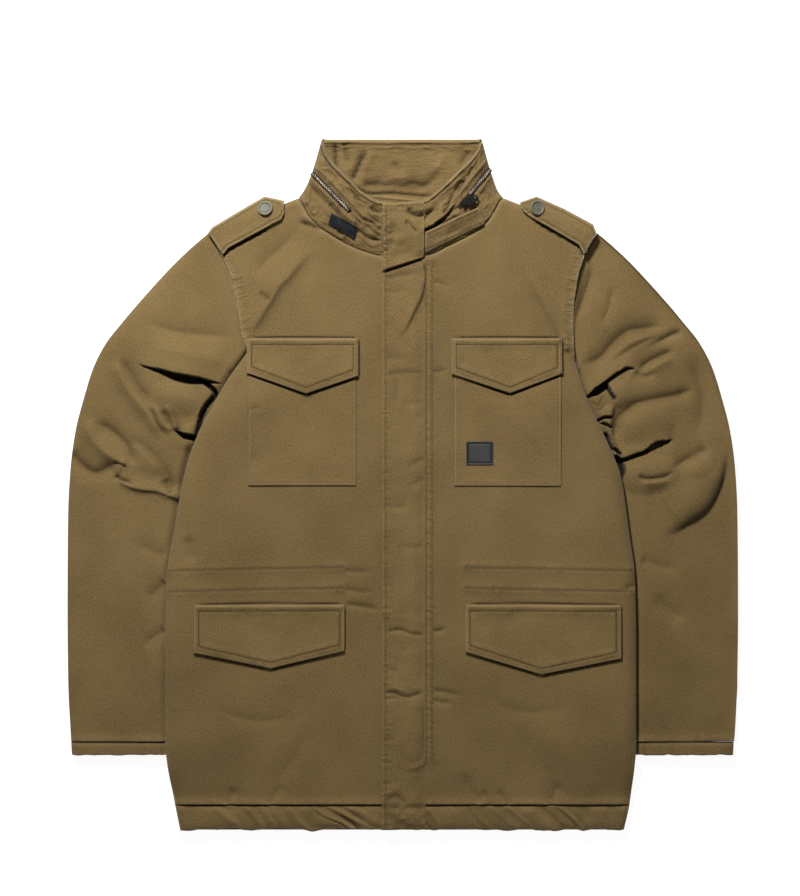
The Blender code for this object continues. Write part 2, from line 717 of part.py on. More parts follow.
def make_button(name, place, carrier):
    """Turned button with a raised rim."""
    x, y = place
    base = top_at(trees_of([carrier]), x, y, BUTTON_RADIUS) + SEAM
    work = bmesh.new()
    verts = [work.verts.new((radius * MM, 0, height * MM)) for radius, height in BUTTON_PROFILE]
    edges = [work.edges.new(pair) for pair in zip(verts, verts[1:])]
    bmesh.ops.spin(work, geom=verts + edges, axis=(0, 0, 1), cent=(0, 0, 0), steps=24,
                   angle=2 * pi, use_merge=True)
    bmesh.ops.remove_doubles(work, verts=work.verts[:], dist=1e-5)
    bmesh.ops.translate(work, verts=work.verts[:], vec=(x * MM, y * MM, base * MM))
    return add_object(name, work, HORN, smooth_angle=30)


def make_zip(name, side, carriers, columns=6, rows=1):
    """Visible stretch of the hood pouch's zip."""
    start, end = [Vector(point) for point in ZIPS[side]]
    across = Vector((-(end - start).y, (end - start).x)).normalized() * ZIP_WIDTH / 2
    edges = [(start + across, end + across), (start - across, end - across)]
    return overlay(name, columns, rows, between(edges, columns, rows), carriers, ZIP_THICK, TEETH)


def box(work, size, centre, turn=0.0):
    """Add a box in millimetres, turned about Z."""
    matrix = Matrix.Translation(Vector(centre) * MM) @ Matrix.Rotation(turn, 4, "Z")
    made = bmesh.ops.create_cube(work, size=1.0)["verts"]
    bmesh.ops.scale(work, verts=made, vec=Vector(size) * MM)
    bmesh.ops.transform(work, matrix=matrix, verts=made)


def rod(name, radius, length, matrix):
    """Round bar along its own X axis, in millimetres."""
    work = bmesh.new()
    bmesh.ops.create_cone(work, cap_ends=True, segments=20, radius1=radius * MM,
                          radius2=radius * MM, depth=length * MM,
                          matrix=matrix @ Matrix.Rotation(pi / 2, 4, "Y"))
    return add_object(name, work, BLACK_METAL, smooth_angle=30)


def combine(target, other, operation):
    """Join a second solid to a first, or cut it out, and remove the second."""
    step = target.modifiers.new(operation.lower(), "BOOLEAN")
    step.operation = operation
    step.object = other
    graph = bpy.context.evaluated_depsgraph_get()
    result = bpy.data.meshes.new_from_object(target.evaluated_get(graph))
    target.modifiers.clear()
    target.data = result
    bpy.data.objects.remove(other)


def hinge_frame(base):
    """Frame on the pull tab's hinge: X along the pin, Y towards the tab's free end."""
    level = Vector((cos(TAB_TURN), sin(TAB_TURN), 0))
    along = level * cos(TAB_DIP) - Vector((0, 0, sin(TAB_DIP)))
    offset = Vector((cos(ZIP_TURN), sin(ZIP_TURN), 0)) * PIN_INSET
    place = Vector((*SLIDER_AT, base + SLIDER_SIZE[2] + EYE_RADIUS + EYE_CLEAR)) - offset
    pin = Vector((level.y, -level.x, 0))
    turn = Matrix((pin, along, pin.cross(along))).transposed().to_4x4()
    return Matrix.Translation(place * MM) @ turn


def make_slider(carriers):
    """Zip slider with two ears and the pin that the pull tab swings on."""
    base = top_at(trees_of(carriers), *SLIDER_AT, 5.0) + SEAM
    work = bmesh.new()
    centre = (*SLIDER_AT, base + SLIDER_SIZE[2] / 2)
    box(work, SLIDER_SIZE, centre, ZIP_TURN)
    bmesh.ops.bevel(work, geom=work.edges[:], offset=SLIDER_BEVEL * MM, segments=2,
                    affect="EDGES")
    slider = add_object("zip_slider", work, BLACK_METAL, smooth_angle=35)
    frame = hinge_frame(base)
    for end in (-1, 1):
        ear = bmesh.new()
        box(ear, EAR_SIZE, (end * EAR_APART, 0, -EAR_DROP))
        bmesh.ops.transform(ear, matrix=frame, verts=ear.verts[:])
        combine(slider, add_object("ear", ear, BLACK_METAL), "UNION")
    combine(slider, rod("pin", PIN_RADIUS, PIN_LENGTH, frame), "UNION")
    return frame


def make_pull_tab(frame):
    """Pull tab with an eye round the slider's pin and a slot in its free end."""
    local = Matrix.Identity(4)
    tab = rod("pull_tab", EYE_RADIUS, EYE_LENGTH, local)
    plate = bmesh.new()
    length = TAB_LENGTH - TAB_START
    box(plate, (TAB_WIDTH, length, TAB_THICK), (0, TAB_START + length / 2, 0))
    upright = [edge for edge in plate.edges if abs(edge.verts[0].co.z - edge.verts[1].co.z) > 1e-4]
    bmesh.ops.bevel(plate, geom=upright, offset=TAB_CORNER * MM, segments=3, affect="EDGES")
    combine(tab, add_object("plate", plate, BLACK_METAL), "UNION")
    neck = bmesh.new()
    box(neck, (EYE_LENGTH, TAB_NECK, TAB_THICK), (0, TAB_NECK / 2, 0))
    combine(tab, add_object("neck", neck, BLACK_METAL), "UNION")
    combine(tab, rod("bore", EYE_BORE, CUTTER_LENGTH, local), "DIFFERENCE")
    slot = bmesh.new()
    box(slot, (*SLOT_SIZE, CUTTER_LENGTH), (0, TAB_LENGTH - SLOT_INSET, 0))
    combine(tab, add_object("slot", slot, BLACK_METAL), "DIFFERENCE")
    tab.matrix_world = frame
    tab.data.materials.clear()
    tab.data.materials.append(make_material(BLACK_METAL))
    return tab


def clear_scene():
    """Remove whatever the file already holds."""
    for old in list(bpy.data.objects):
        bpy.data.objects.remove(old)
    bpy.context.scene.collection.children.link(parts)


def build():
    """Make the jacket's pieces, each one after what it lies on."""
    make_back()
    make_back_hem()
    fronts = {side: make_front(f"front_{label}", side) for side, label in SIDES}
    hems = {side: make_front_hem(f"hem_{label}", side) for side, label in SIDES}
    sleeves = {side: make_tube(f"sleeve_{label}", side, SLEEVE) for side, label in SIDES}
    collar = make_collar()
    for side, label in SIDES:
        make_tube(f"cuff_{label}", side, CUFF)
        pocket = make_pocket(f"chest_pocket_{label}", CHEST_POCKETS[side], [fronts[side]])
        make_flap(f"chest_flap_{label}", CHEST_FLAPS[side], [fronts[side], pocket, sleeves[side]])
        make_flap(f"lower_flap_{label}", LOWER_FLAPS[side], [fronts[side]])
        strap = make_epaulette(f"epaulette_{label}", side, [fronts[side], sleeves[side]])
        make_button(f"button_{label}", BUTTONS[side], strap)
        if side == LEFT:
            patch = between(CHEST_PATCH, 2, 2)
            overlay("chest_patch", 2, 2, patch, [pocket], PATCH_THICK, HIDE)

    body = [*fronts.values(), *hems.values()]

    def fly_plan(i, j):
        return FLY_COLUMNS[i], FLY_ROWS[j]

    fly = overlay("storm_fly", 3, len(FLY_ROWS) - 1, fly_plan, body, PLACKET)
    overlay("collar_fly", 4, 5, between(COLLAR_FLY, 4, 5), [collar, fly, *body], PLACKET)
    overlay("collar_tab", 8, 2, between(COLLAR_TAB, 8, 2), [collar, *fronts.values()], FLAP)
    overlay("hook_patch", 4, 2, between(HOOK_PATCH, 4, 2), [collar], HOOK_THICK, HOOKS)
    zips = {side: make_zip(f"zip_{label}", side, [collar]) for side, label in SIDES}

    def guard_skin(i, j):
        x, y = between(ZIP_GUARD, 4, 3)(i, j)
        low = HALF - LAYER_GAP / 2 + SEAM
        return Vector((x, y, low + GUARD_THICK)), Vector((x, y, low))

    cloth("zip_guard", 4, 3, guard_skin)
    make_pull_tab(make_slider([zips[LEFT], collar]))


clear_scene()
build()
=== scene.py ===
"""Looks of a padded field jacket that lies flat on its back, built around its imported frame.

Lengths in the tables are millimetres: x runs to the wearer's left, y to the collar and z up
out of the front. Right and left are the wearer's.
"""

import logging
import math
from dataclasses import dataclass, field
from enum import Enum

import bmesh
import bpy
import numpy as np
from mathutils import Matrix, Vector
from mathutils.bvhtree import BVHTree


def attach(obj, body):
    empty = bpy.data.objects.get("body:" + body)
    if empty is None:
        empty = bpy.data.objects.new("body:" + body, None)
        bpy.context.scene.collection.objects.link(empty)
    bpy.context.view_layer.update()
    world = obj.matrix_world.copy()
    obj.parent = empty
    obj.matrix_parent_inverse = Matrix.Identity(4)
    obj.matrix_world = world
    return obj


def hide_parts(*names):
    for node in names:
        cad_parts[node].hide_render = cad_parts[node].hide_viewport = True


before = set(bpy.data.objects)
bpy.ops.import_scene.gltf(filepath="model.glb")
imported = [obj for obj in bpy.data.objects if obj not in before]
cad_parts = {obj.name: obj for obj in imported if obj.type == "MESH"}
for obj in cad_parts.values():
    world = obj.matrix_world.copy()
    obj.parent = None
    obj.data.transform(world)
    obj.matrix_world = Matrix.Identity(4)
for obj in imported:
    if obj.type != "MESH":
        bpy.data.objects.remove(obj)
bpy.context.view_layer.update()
LOG = logging.getLogger("field_jacket")
Array = np.ndarray
MM = 0.001

# Layers, as the frame has them
SEAM = 0.3
BODY_HEIGHT = 18.5
HALF = BODY_HEIGHT / 2
EDGE_LIFT = 13.0
LIFT_FLAT, LIFT_FALL = 24.0, 31.0
TUCK = 28.0
TUCKED_HEIGHT = 11.5

# Landmarks
SHOULDER_Y, ARMPIT_Y = 314.0, 166.0
HEM_SEAM_Y, HEM_Y = -400.0, -432.0
CUFF_SEAM_Y, CUFF_Y = -321.7, -338.0
BACK_NECK_Y = 345.0
FLY_RIGHT_X, FLY_LEFT_X = -25.8, 29.0

# y, right half width, left half width
ARMHOLE = ((314, 243, 242), (311, 241, 240.3), (305, 237, 236.8), (284, 225.5, 226),
           (254, 212.5, 218.6), (222, 206.2, 214.2), (195, 202.5, 213.3), (175, 196, 214),
           (166, 193, 214.5))
BODY_SIDE = ((166, 193, 214.5), (150, 205, 217), (124, 222, 224), (98, 237, 234),
             (72, 251, 246), (43, 263, 260), (8, 273, 273), (-53, 284, 282), (-118, 294, 290),
             (-188, 295.5, 291.5), (-324, 295.5, 291.5), (-350, 293, 289.5), (-400, 284.5, 284),
             (-432, 278, 277))
NECK = ((358, 130, 126.5), (354, 127.5, 121.5), (347, 123.5, 117.5), (336, 117.5, 111.5),
        (323, 105.5, 100.5), (310, 87, 82), (297, 63, 55.5), (287, 35, 33), (283, 12, -11.7))
# y at the armhole or side, y at the neck or centre
FRONT_ROWS = ((314, 358), (311, 354), (305, 347), (295, 336), (284, 323), (269, 310),
              (254, 297), (238, 287), (222, 283), (195, 262), (175, 240), (166, 215), (146, 184),
              (124, 152), (98, 120), (72, 86), (43, 50), (8, 10), (-35, -35), (-87.5, -82.5),
              (-142.5, -137.5), (-190, -190), (-257, -257), (-324, -324), (-348, -348),
              (-372, -372), (-400, -400))
# outer x, outer y, inner y, thickness
SLEEVE = ((243, 314, 166, 18.5), (264, 296, 158, 19), (285, 276, 147, 20), (321, 237, 128, 21),
          (350, 203, 104, 22), (371, 176, 82, 23), (386, 147, 60, 23), (399, 106, 34, 22),
          (409, 66, 6, 22), (415, 22, -24, 21), (418, -30, -62, 21), (418.8, -90, -110, 20),
          (419, -160, -166, 20), (418.2, -245, -245, 19), (414.5, -321.7, -321.7, 18))
# right x, right y, left x, left y, share of the arch
WING_TOP = ((101, 432, 99, 432, 0), (99, 425, 96.5, 424, 0), (95, 414, 92, 416, 0.05),
            (88, 403.5, 84, 406, 0.2), (78, 393, 73, 395, 0.5), (66, 381, 60, 382, 0.85),
            (50, 365, 45, 368, 1), (30, 354, 28, 356, 0.8), (12, 352, -11.7, 351.5, 0.5))
# share of the height, right x, right y, left x, left y
COLLAR_SIDE = ((0, 130, 358, 126.5, 358), (0.2, 122.5, 369, 119.5, 367),
               (0.5, 113, 391, 110, 393), (1, 101, 432, 99, 432))
WING_ARCH = 8.0


class Side(Enum):
    """Side of the wearer, with the sign of its x."""

    RIGHT = -1
    LEFT = 1

    @property
    def label(self) -> str:
        """The side's word in node names."""
        return self.name.lower()

    def pick(self, rows: tuple, first: int = 1) -> list[float]:
        """The side's own column of a table, of two that stand next to each other."""
        return [row[first + (self is Side.LEFT)] for row in rows]


class Crease(Enum):
    """How a fold's section rises or falls."""

    TROUGH = 1
    RIDGE = 2
    PLEAT = 3
    SLIT = 4
    CLEFT = 5
    BANK = 6


class Facing(Enum):
    """Where a piece's outer face looks."""

    UP = 1
    DOWN = -1
    OUT = 0


def ease(value: Array) -> Array:
    """Soft step from 0 to 1."""
    value = np.clip(value, 0, 1)
    return value * value * (3 - 2 * value)


def quarter(distance: Array, radius: Array = HALF) -> Array:
    """Height of a rounded edge, from 0 at the edge to 1 past its radius."""
    return np.sqrt(1 - (1 - np.clip(distance / radius, 0, 1)) ** 2)


def mix(start: Array, end: Array, share: Array) -> Array:
    """Value part of the way from one to another."""
    return start + (end - start) * share


def through(keys: list[float], values: list[float], at: Array) -> Array:
    """Values on a smooth curve through given ones, which never overshoots them.

    Args:
        keys: Rising places of the given values.
        values: The given values.
        at: Places to read the curve at.

    Returns:
        The curve's values there.
    """
    keys, values = np.asarray(keys, float), np.asarray(values, float)
    span = np.diff(keys)
    slope = np.diff(values) / span
    tangent = np.zeros_like(values)
    tangent[[0, -1]] = slope[[0, -1]]
    before, after = slope[:-1], slope[1:]
    together = before + after
    same = before * after > 0
    tangent[1:-1] = np.where(same, 2 * before * after / np.where(same, together, 1), 0)
    at = np.asarray(at, float)
    i = np.clip(np.searchsorted(keys, at, side="right") - 1, 0, len(keys) - 2)
    t = np.clip((at - keys[i]) / span[i], 0, 1)
    bend = t * (1 - t) ** 2 * tangent[i] - t * t * (1 - t) * tangent[i + 1]
    return mix(values[i], values[i + 1], ease(t)) + span[i] * bend


class Unevenness:
    """Smooth seeded variation over a surface."""

    SIZE = 97

    def __init__(self, seed: int) -> None:
        """Fill the table of random heights."""
        self.table = np.random.default_rng(seed).uniform(-1, 1, (self.SIZE, self.SIZE))

    def at(self, u: Array, v: Array = 0.0) -> Array:
        """Variation from -1 to 1, with one bump to a unit."""
        u, v = np.broadcast_arrays(np.asarray(u, float), np.asarray(v, float))
        i, j = np.floor(u).astype(int), np.floor(v).astype(int)
        s, t = ease(u - i), ease(v - j)
        corner = [self.table[(i + a) % self.SIZE, (j + b) % self.SIZE]
                  for a, b in ((0, 0), (1, 0), (0, 1), (1, 1))]
        return mix(mix(corner[0], corner[1], s), mix(corner[2], corner[3], s), t)

    def cloudy(self, u: Array, v: Array = 0.0) -> Array:
        """The same with finer bumps added."""
        u, v = np.asarray(u, float), np.asarray(v, float)
        return (self.at(u, v) + 0.5 * self.at(2.1 * u + 31, 2.1 * v + 17)) / 1.3


def crinkled(noise: Unevenness, x: Array, y: Array, size: float) -> Array:
    """Sharp small ridges with soft hollows between, up to a millimetre either way."""
    across = noise.at(x / size + 5, y / (1.3 * size) + 9)
    slanted = noise.at((x + y) / (1.5 * size) + 40, (x - y) / (2.6 * size) + 21)
    return 1.0 - 2.2 * np.minimum(np.abs(across), np.abs(slanted) + 0.12) ** 0.8


def rounded(path: Array, pitch: float = 3.0) -> Array:
    """A smooth line through a few places, with points a pitch apart.

    Args:
        path: The places, as rows of x and y.
        pitch: Distance between the line's points.

    Returns:
        The line's points.
    """
    path = np.asarray(path, float)
    if len(path) < 3:
        count = max(2, int(np.linalg.norm(path[1] - path[0]) / pitch) + 1)
        return mix(path[0], path[1], np.linspace(0, 1, count)[:, None])
    ends = np.vstack([2 * path[0] - path[1], path, 2 * path[-1] - path[-2]])
    line = [path[:1]]
    for a, b, c, d in zip(ends, ends[1:], ends[2:], ends[3:]):
        count = max(1, int(np.linalg.norm(c - b) / pitch))
        t = np.linspace(0, 1, count + 1)[1:, None]
        line.append(0.5 * (2 * b + (c - a) * t + (2 * a - 5 * b + 4 * c - d) * t * t
                           + (3 * b - a - 3 * c + d) * t ** 3))
    return np.vstack(line)


def beside(line: Array, x: Array, y: Array) -> tuple[Array, Array]:
    """Where places are from a line.

    Args:
        line: The line's points.
        x: The places' x.
        y: The places' y.

    Returns:
        The signed distance, above 0 on the left of the line's way, and the length along it.
    """
    start, run = line[:-1], np.diff(line, axis=0)
    length = np.maximum(np.linalg.norm(run, axis=1), 1e-9)
    before = np.concatenate([[0], np.cumsum(length)[:-1]])
    away_x = x[:, None] - start[None, :, 0]
    away_y = y[:, None] - start[None, :, 1]
    share = np.clip((away_x * run[:, 0] + away_y * run[:, 1]) / length ** 2, 0, 1)
    off_x, off_y = away_x - share * run[:, 0], away_y - share * run[:, 1]
    nearest = np.argmin(off_x ** 2 + off_y ** 2, axis=1)
    rows = np.arange(len(x))
    near_x, near_y = off_x[rows, nearest], off_y[rows, nearest]
    turn = run[nearest, 0] * near_y - run[nearest, 1] * near_x
    distance = np.hypot(near_x, near_y) * np.where(turn >= 0, 1, -1)
    return distance, before[nearest] + share[rows, nearest] * length[nearest]


def near(line: Array, x: Array, y: Array, reach: float) -> Array:
    """Which places lie within reach of a line's box."""
    low, high = line.min(0) - reach, line.max(0) + reach
    return (x > low[0]) & (x < high[0]) & (y > low[1]) & (y < high[1])


@dataclass(frozen=True)
class Fold:
    """One fold. Its raised side is on the left of its way."""

    crease: Crease
    width: float
    height: float
    path: tuple[tuple[float, float], ...]
    start: float = 0.25
    end: float = 0.2
    mouth: float = 0.0
    depth: float = 9.0
    # Painted shade in the fold's hollow, from 0 to 1
    shade: float = 0.0
    sink: float = 0.45

    def section(self, off: Array, taper: Array) -> tuple[Array, Array]:
        """Height and shade of the fold's section.

        Args:
            off: Signed distances from the fold's line.
            taper: How much of the fold is there, from 0 to 1.

        Returns:
            The height that it adds, and its painted shade from 0 to 1, which darkens the cloth in the
            fold's hollow.
        """
        spread = np.exp(-(off / self.width) ** 2)
        tall = self.height * taper
        if self.crease is Crease.RIDGE:
            return tall * np.exp(-np.abs(off / self.width) ** 1.5), 0 * spread
        if self.crease is Crease.TROUGH:
            soft = 0.6 + 0.11 * self.width
            sharp = np.exp((soft - np.hypot(off, soft)) / (0.72 * self.width))
            return -tall * sharp, self.shade * taper * np.exp(-(off / (0.45 * self.width)) ** 2)
        if self.crease is Crease.PLEAT:
            past = np.maximum(-off, 0) / self.mouth
            fall = np.exp(-past) - self.sink * past * np.exp(1 - past)
            dark = np.exp(-((past - 0.15) / 0.5) ** 2) * (off < 0)
            return tall * np.where(off > 0, spread, fall), self.shade * taper * dark
        if self.crease is Crease.BANK:
            rise = np.maximum(off, 0) / self.width
            dark = np.exp(-(rise / 0.35) ** 2) * ease(off / 1.5 + 1)
            return tall * rise * np.exp(1 - rise), self.shade * taper * dark
        gap = self.mouth * taper
        middle = -gap / 2 if self.crease is Crease.SLIT else 0 * gap
        opened = ease((gap / 2 - np.abs(off - middle)) / 1.7 + 0.5) * ease(gap / 1.5)
        if self.crease is Crease.CLEFT:
            return -0.4 * tall * spread - self.depth * opened, opened
        over = np.exp(-(np.maximum(off, 0) / self.width) ** 2) * ease(off / 2 + 0.8)
        beyond = off + gap
        under = np.exp(-(np.minimum(beyond, 0) / (0.7 * self.width)) ** 2) * ease(0.5 - beyond / 2)
        return tall * (over - 0.4 * under) - self.depth * opened, opened

    def at(self, x: Array, y: Array) -> Array:
        """Height, shade and pucker that the fold adds at places, as three rows."""
        line = rounded(self.path)
        added = np.zeros((3, len(x)))
        close = near(line, x, y, 4 * self.width + 2 * self.mouth + 4)
        if close.any():
            off, along = beside(line, x[close], y[close])
            share = along / np.linalg.norm(np.diff(line, axis=0), axis=1).sum()
            taper = ease(share / self.start) * ease((1 - share) / self.end)
            added[0, close], added[1, close] = self.section(off, taper)
        return added


@dataclass(frozen=True)
class Bulge:
    """One rounded swelling of the padding."""

    x: float
    y: float
    wide: float
    tall: float
    turn: float
    height: float

    def at(self, x: Array, y: Array) -> Array:
        """Height that the bulge adds at places, with no shade or pucker."""
        c, s = math.cos(self.turn), math.sin(self.turn)
        u = ((x - self.x) * c + (y - self.y) * s) / self.wide
        v = ((y - self.y) * c - (x - self.x) * s) / self.tall
        inside = np.maximum(0, 1 - u * u - v * v)
        return np.stack([self.height * inside ** 1.5, 0 * x, 0 * x])


@dataclass(frozen=True)
class Seam:
    """A stitched line, with the dip and the puckers that its thread pulls into the cloth, and painted
    shade in its groove.
    """

    line: Array
    dip: float = 0.5
    pucker: float = 0.5
    spread: float = 5.0
    shade: float = 0.2

    def at(self, x: Array, y: Array) -> Array:
        """Height, shade and pucker that the seam adds at places.

        Args:
            x: The places' x.
            y: The places' y.

        Returns:
            Three rows. The pucker is above 0 where the seam runs up and down, and below 0
            where it runs across.
        """
        added = np.zeros((3, len(x)))
        close = near(self.line, x, y, 3 * self.spread)
        if close.any():
            off, along = beside(self.line, x[close], y[close])
            groove = np.exp(-(off / 1.3) ** 2)
            span = np.abs(self.line[-1] - self.line[0])
            way = 1 if span[1] > span[0] else -1
            uneven = 0.75 + 0.45 * Unevenness(13).at(along / 19, float(self.line[0, 0]) / 7)
            added[0, close] = -self.dip * groove
            added[1, close] = self.shade * groove
            added[2, close] = way * self.pucker * uneven * np.exp(-(off / self.spread) ** 2)
        return added


def relief(parts: list, x: Array, y: Array) -> Array:
    """What folds, bulges and seams add at places of any shape.

    Args:
        parts: The folds, bulges and seams.
        x: The places' x.
        y: The places' y.

    Returns:
        The height that they add together, their deepest shade and their pucker.
    """
    x, y = np.broadcast_arrays(x, y)
    flat_x, flat_y = np.ravel(x).astype(float), np.ravel(y).astype(float)
    total = np.zeros((3, flat_x.size))
    for part in parts:
        more = part.at(flat_x, flat_y)
        total[[0, 2]] += more[[0, 2]]
        total[1] = np.maximum(total[1], more[1])
    return total.reshape(3, *x.shape)


# Folds of the right sleeve
RIGHT_SLEEVE_FOLDS = (
    Fold(Crease.SLIT, 17, 4.5, ((-338, 153), (-326, 149), (-314, 146), (-302, 144), (-282, 139),
        (-265, 136), (-252, 133), (-240, 130), (-221, 124)), 0.6, 0.4, mouth=11),
    Fold(Crease.CLEFT, 6, 2.0, ((-258, 136), (-244, 125), (-235, 117), (-234, 110), (-240, 104),
        (-246, 96), (-251, 85), (-253, 76), (-255, 68), (-257, 57), (-262, 43)), 0.1, 0.12,
        mouth=6),
    Fold(Crease.SLIT, 10, 2.5, ((-286, 70), (-281, 67), (-275, 65), (-266, 63), (-253, 61)), 0.5,
        0.05, mouth=7.5),
    Fold(Crease.TROUGH, 12.6, 4.2, ((-328, 208), (-303, 196), (-272, 189), (-238, 186), (-206, 183)),
        0.3, 0.3),
    Fold(Crease.RIDGE, 14.9, 3.85, ((-316, 174), (-281, 166), (-247, 157), (-218, 151)), 0.3, 0.2),
    Fold(Crease.TROUGH, 8, 6.5, ((-354, 158), (-340, 139), (-330, 122), (-321, 110), (-313, 94)),
        0.22, 0.3, shade=0.25),
    Fold(Crease.RIDGE, 9.2, 7, ((-359, 158), (-351, 136), (-340, 117), (-328, 101), (-317, 87),
        (-307, 73), (-294, 58)), 0.15, 0.2),
    Fold(Crease.TROUGH, 2.99, 4.2, ((-316, 98), (-312, 92), (-307, 78), (-300, 66), (-293, 58)), 0.2,
        0.3, shade=0.45),
    Fold(Crease.RIDGE, 3.91, 4.55, ((-309, 103), (-305, 89), (-298, 76), (-289, 63)), 0.3, 0.3),
    Fold(Crease.PLEAT, 5.75, 5.6, ((-279, 67), (-285, 83), (-292, 96), (-298, 103)), 0.15, 0.35,
        mouth=9, shade=0.3),
    Fold(Crease.TROUGH, 2.99, 3.15, ((-300, 94), (-296, 83), (-289, 71)), 0.3, 0.3, shade=0.3),
    Bulge(-283, 108, 34, 24, -0.3, 6.75),
    Fold(Crease.TROUGH, 10.3, 7.7, ((-416, 42), (-408, 32), (-399, 23), (-389, 16), (-381, 15), (-370,
        20), (-360, 25), (-348, 24)), 0.12, 0.25, shade=0.3),
    Fold(Crease.RIDGE, 9.2, 6.3, ((-398, 87), (-389, 62), (-377, 46), (-363, 34), (-351, 27), (-342,
        20)), 0.25, 0.12),
    Fold(Crease.TROUGH, 2.76, 3.85, ((-363, 26), (-354, 26), (-344, 21)), 0.3, 0.1, shade=0.5),
    Fold(Crease.TROUGH, 11.5, 7, ((-387, 78), (-372, 72), (-356, 61), (-343, 47), (-339, 32), (-339,
        22)), 0.25, 0.2, shade=0.2),
    Fold(Crease.RIDGE, 9.2, 3.85, ((-339, 54), (-321, 36), (-306, 21), (-299, 7)), 0.3, 0.3),
    Fold(Crease.TROUGH, 11.5, 5.95, ((-341, 61), (-318, 44), (-302, 27), (-292, 8), (-287, -9)), 0.3,
        0.1, shade=0.2),
    Fold(Crease.TROUGH, 3.68, 5.6, ((-359, 12), (-352, 6), (-344, 4), (-332, -1)), 0.15, 0.5,
        shade=0.45),
    Fold(Crease.PLEAT, 11.5, 4.55, ((-359, 10), (-346, 0), (-328, -6), (-307, -8), (-293, -13), (-274,
        -19)), 0.15, 0.02, mouth=6, shade=0.15),
    Fold(Crease.TROUGH, 5.75, 5.25, ((-298, 8), (-293, -2), (-288, -12)), 0.3, 0.1, shade=0.3),
    Fold(Crease.TROUGH, 15, 6, ((-262, 52), (-265, 33), (-270, 8), (-276, -14)), 0.2, 0.1,
        shade=0.3),
    Bulge(-330, 40, 30, 42, 0.5, 3),
    Fold(Crease.TROUGH, 10.3, 3.5, ((-323, -144), (-308, -132), (-296, -121)), 0.4, 0.1, shade=0.25),
    Fold(Crease.TROUGH, 8.05, 3.15, ((-327, -204), (-311, -192), (-296, -181)), 0.4, 0.1),
    Fold(Crease.TROUGH, 10.3, 2.45, ((-336, -71), (-313, -83), (-294, -89)), 0.4, 0.1),
)
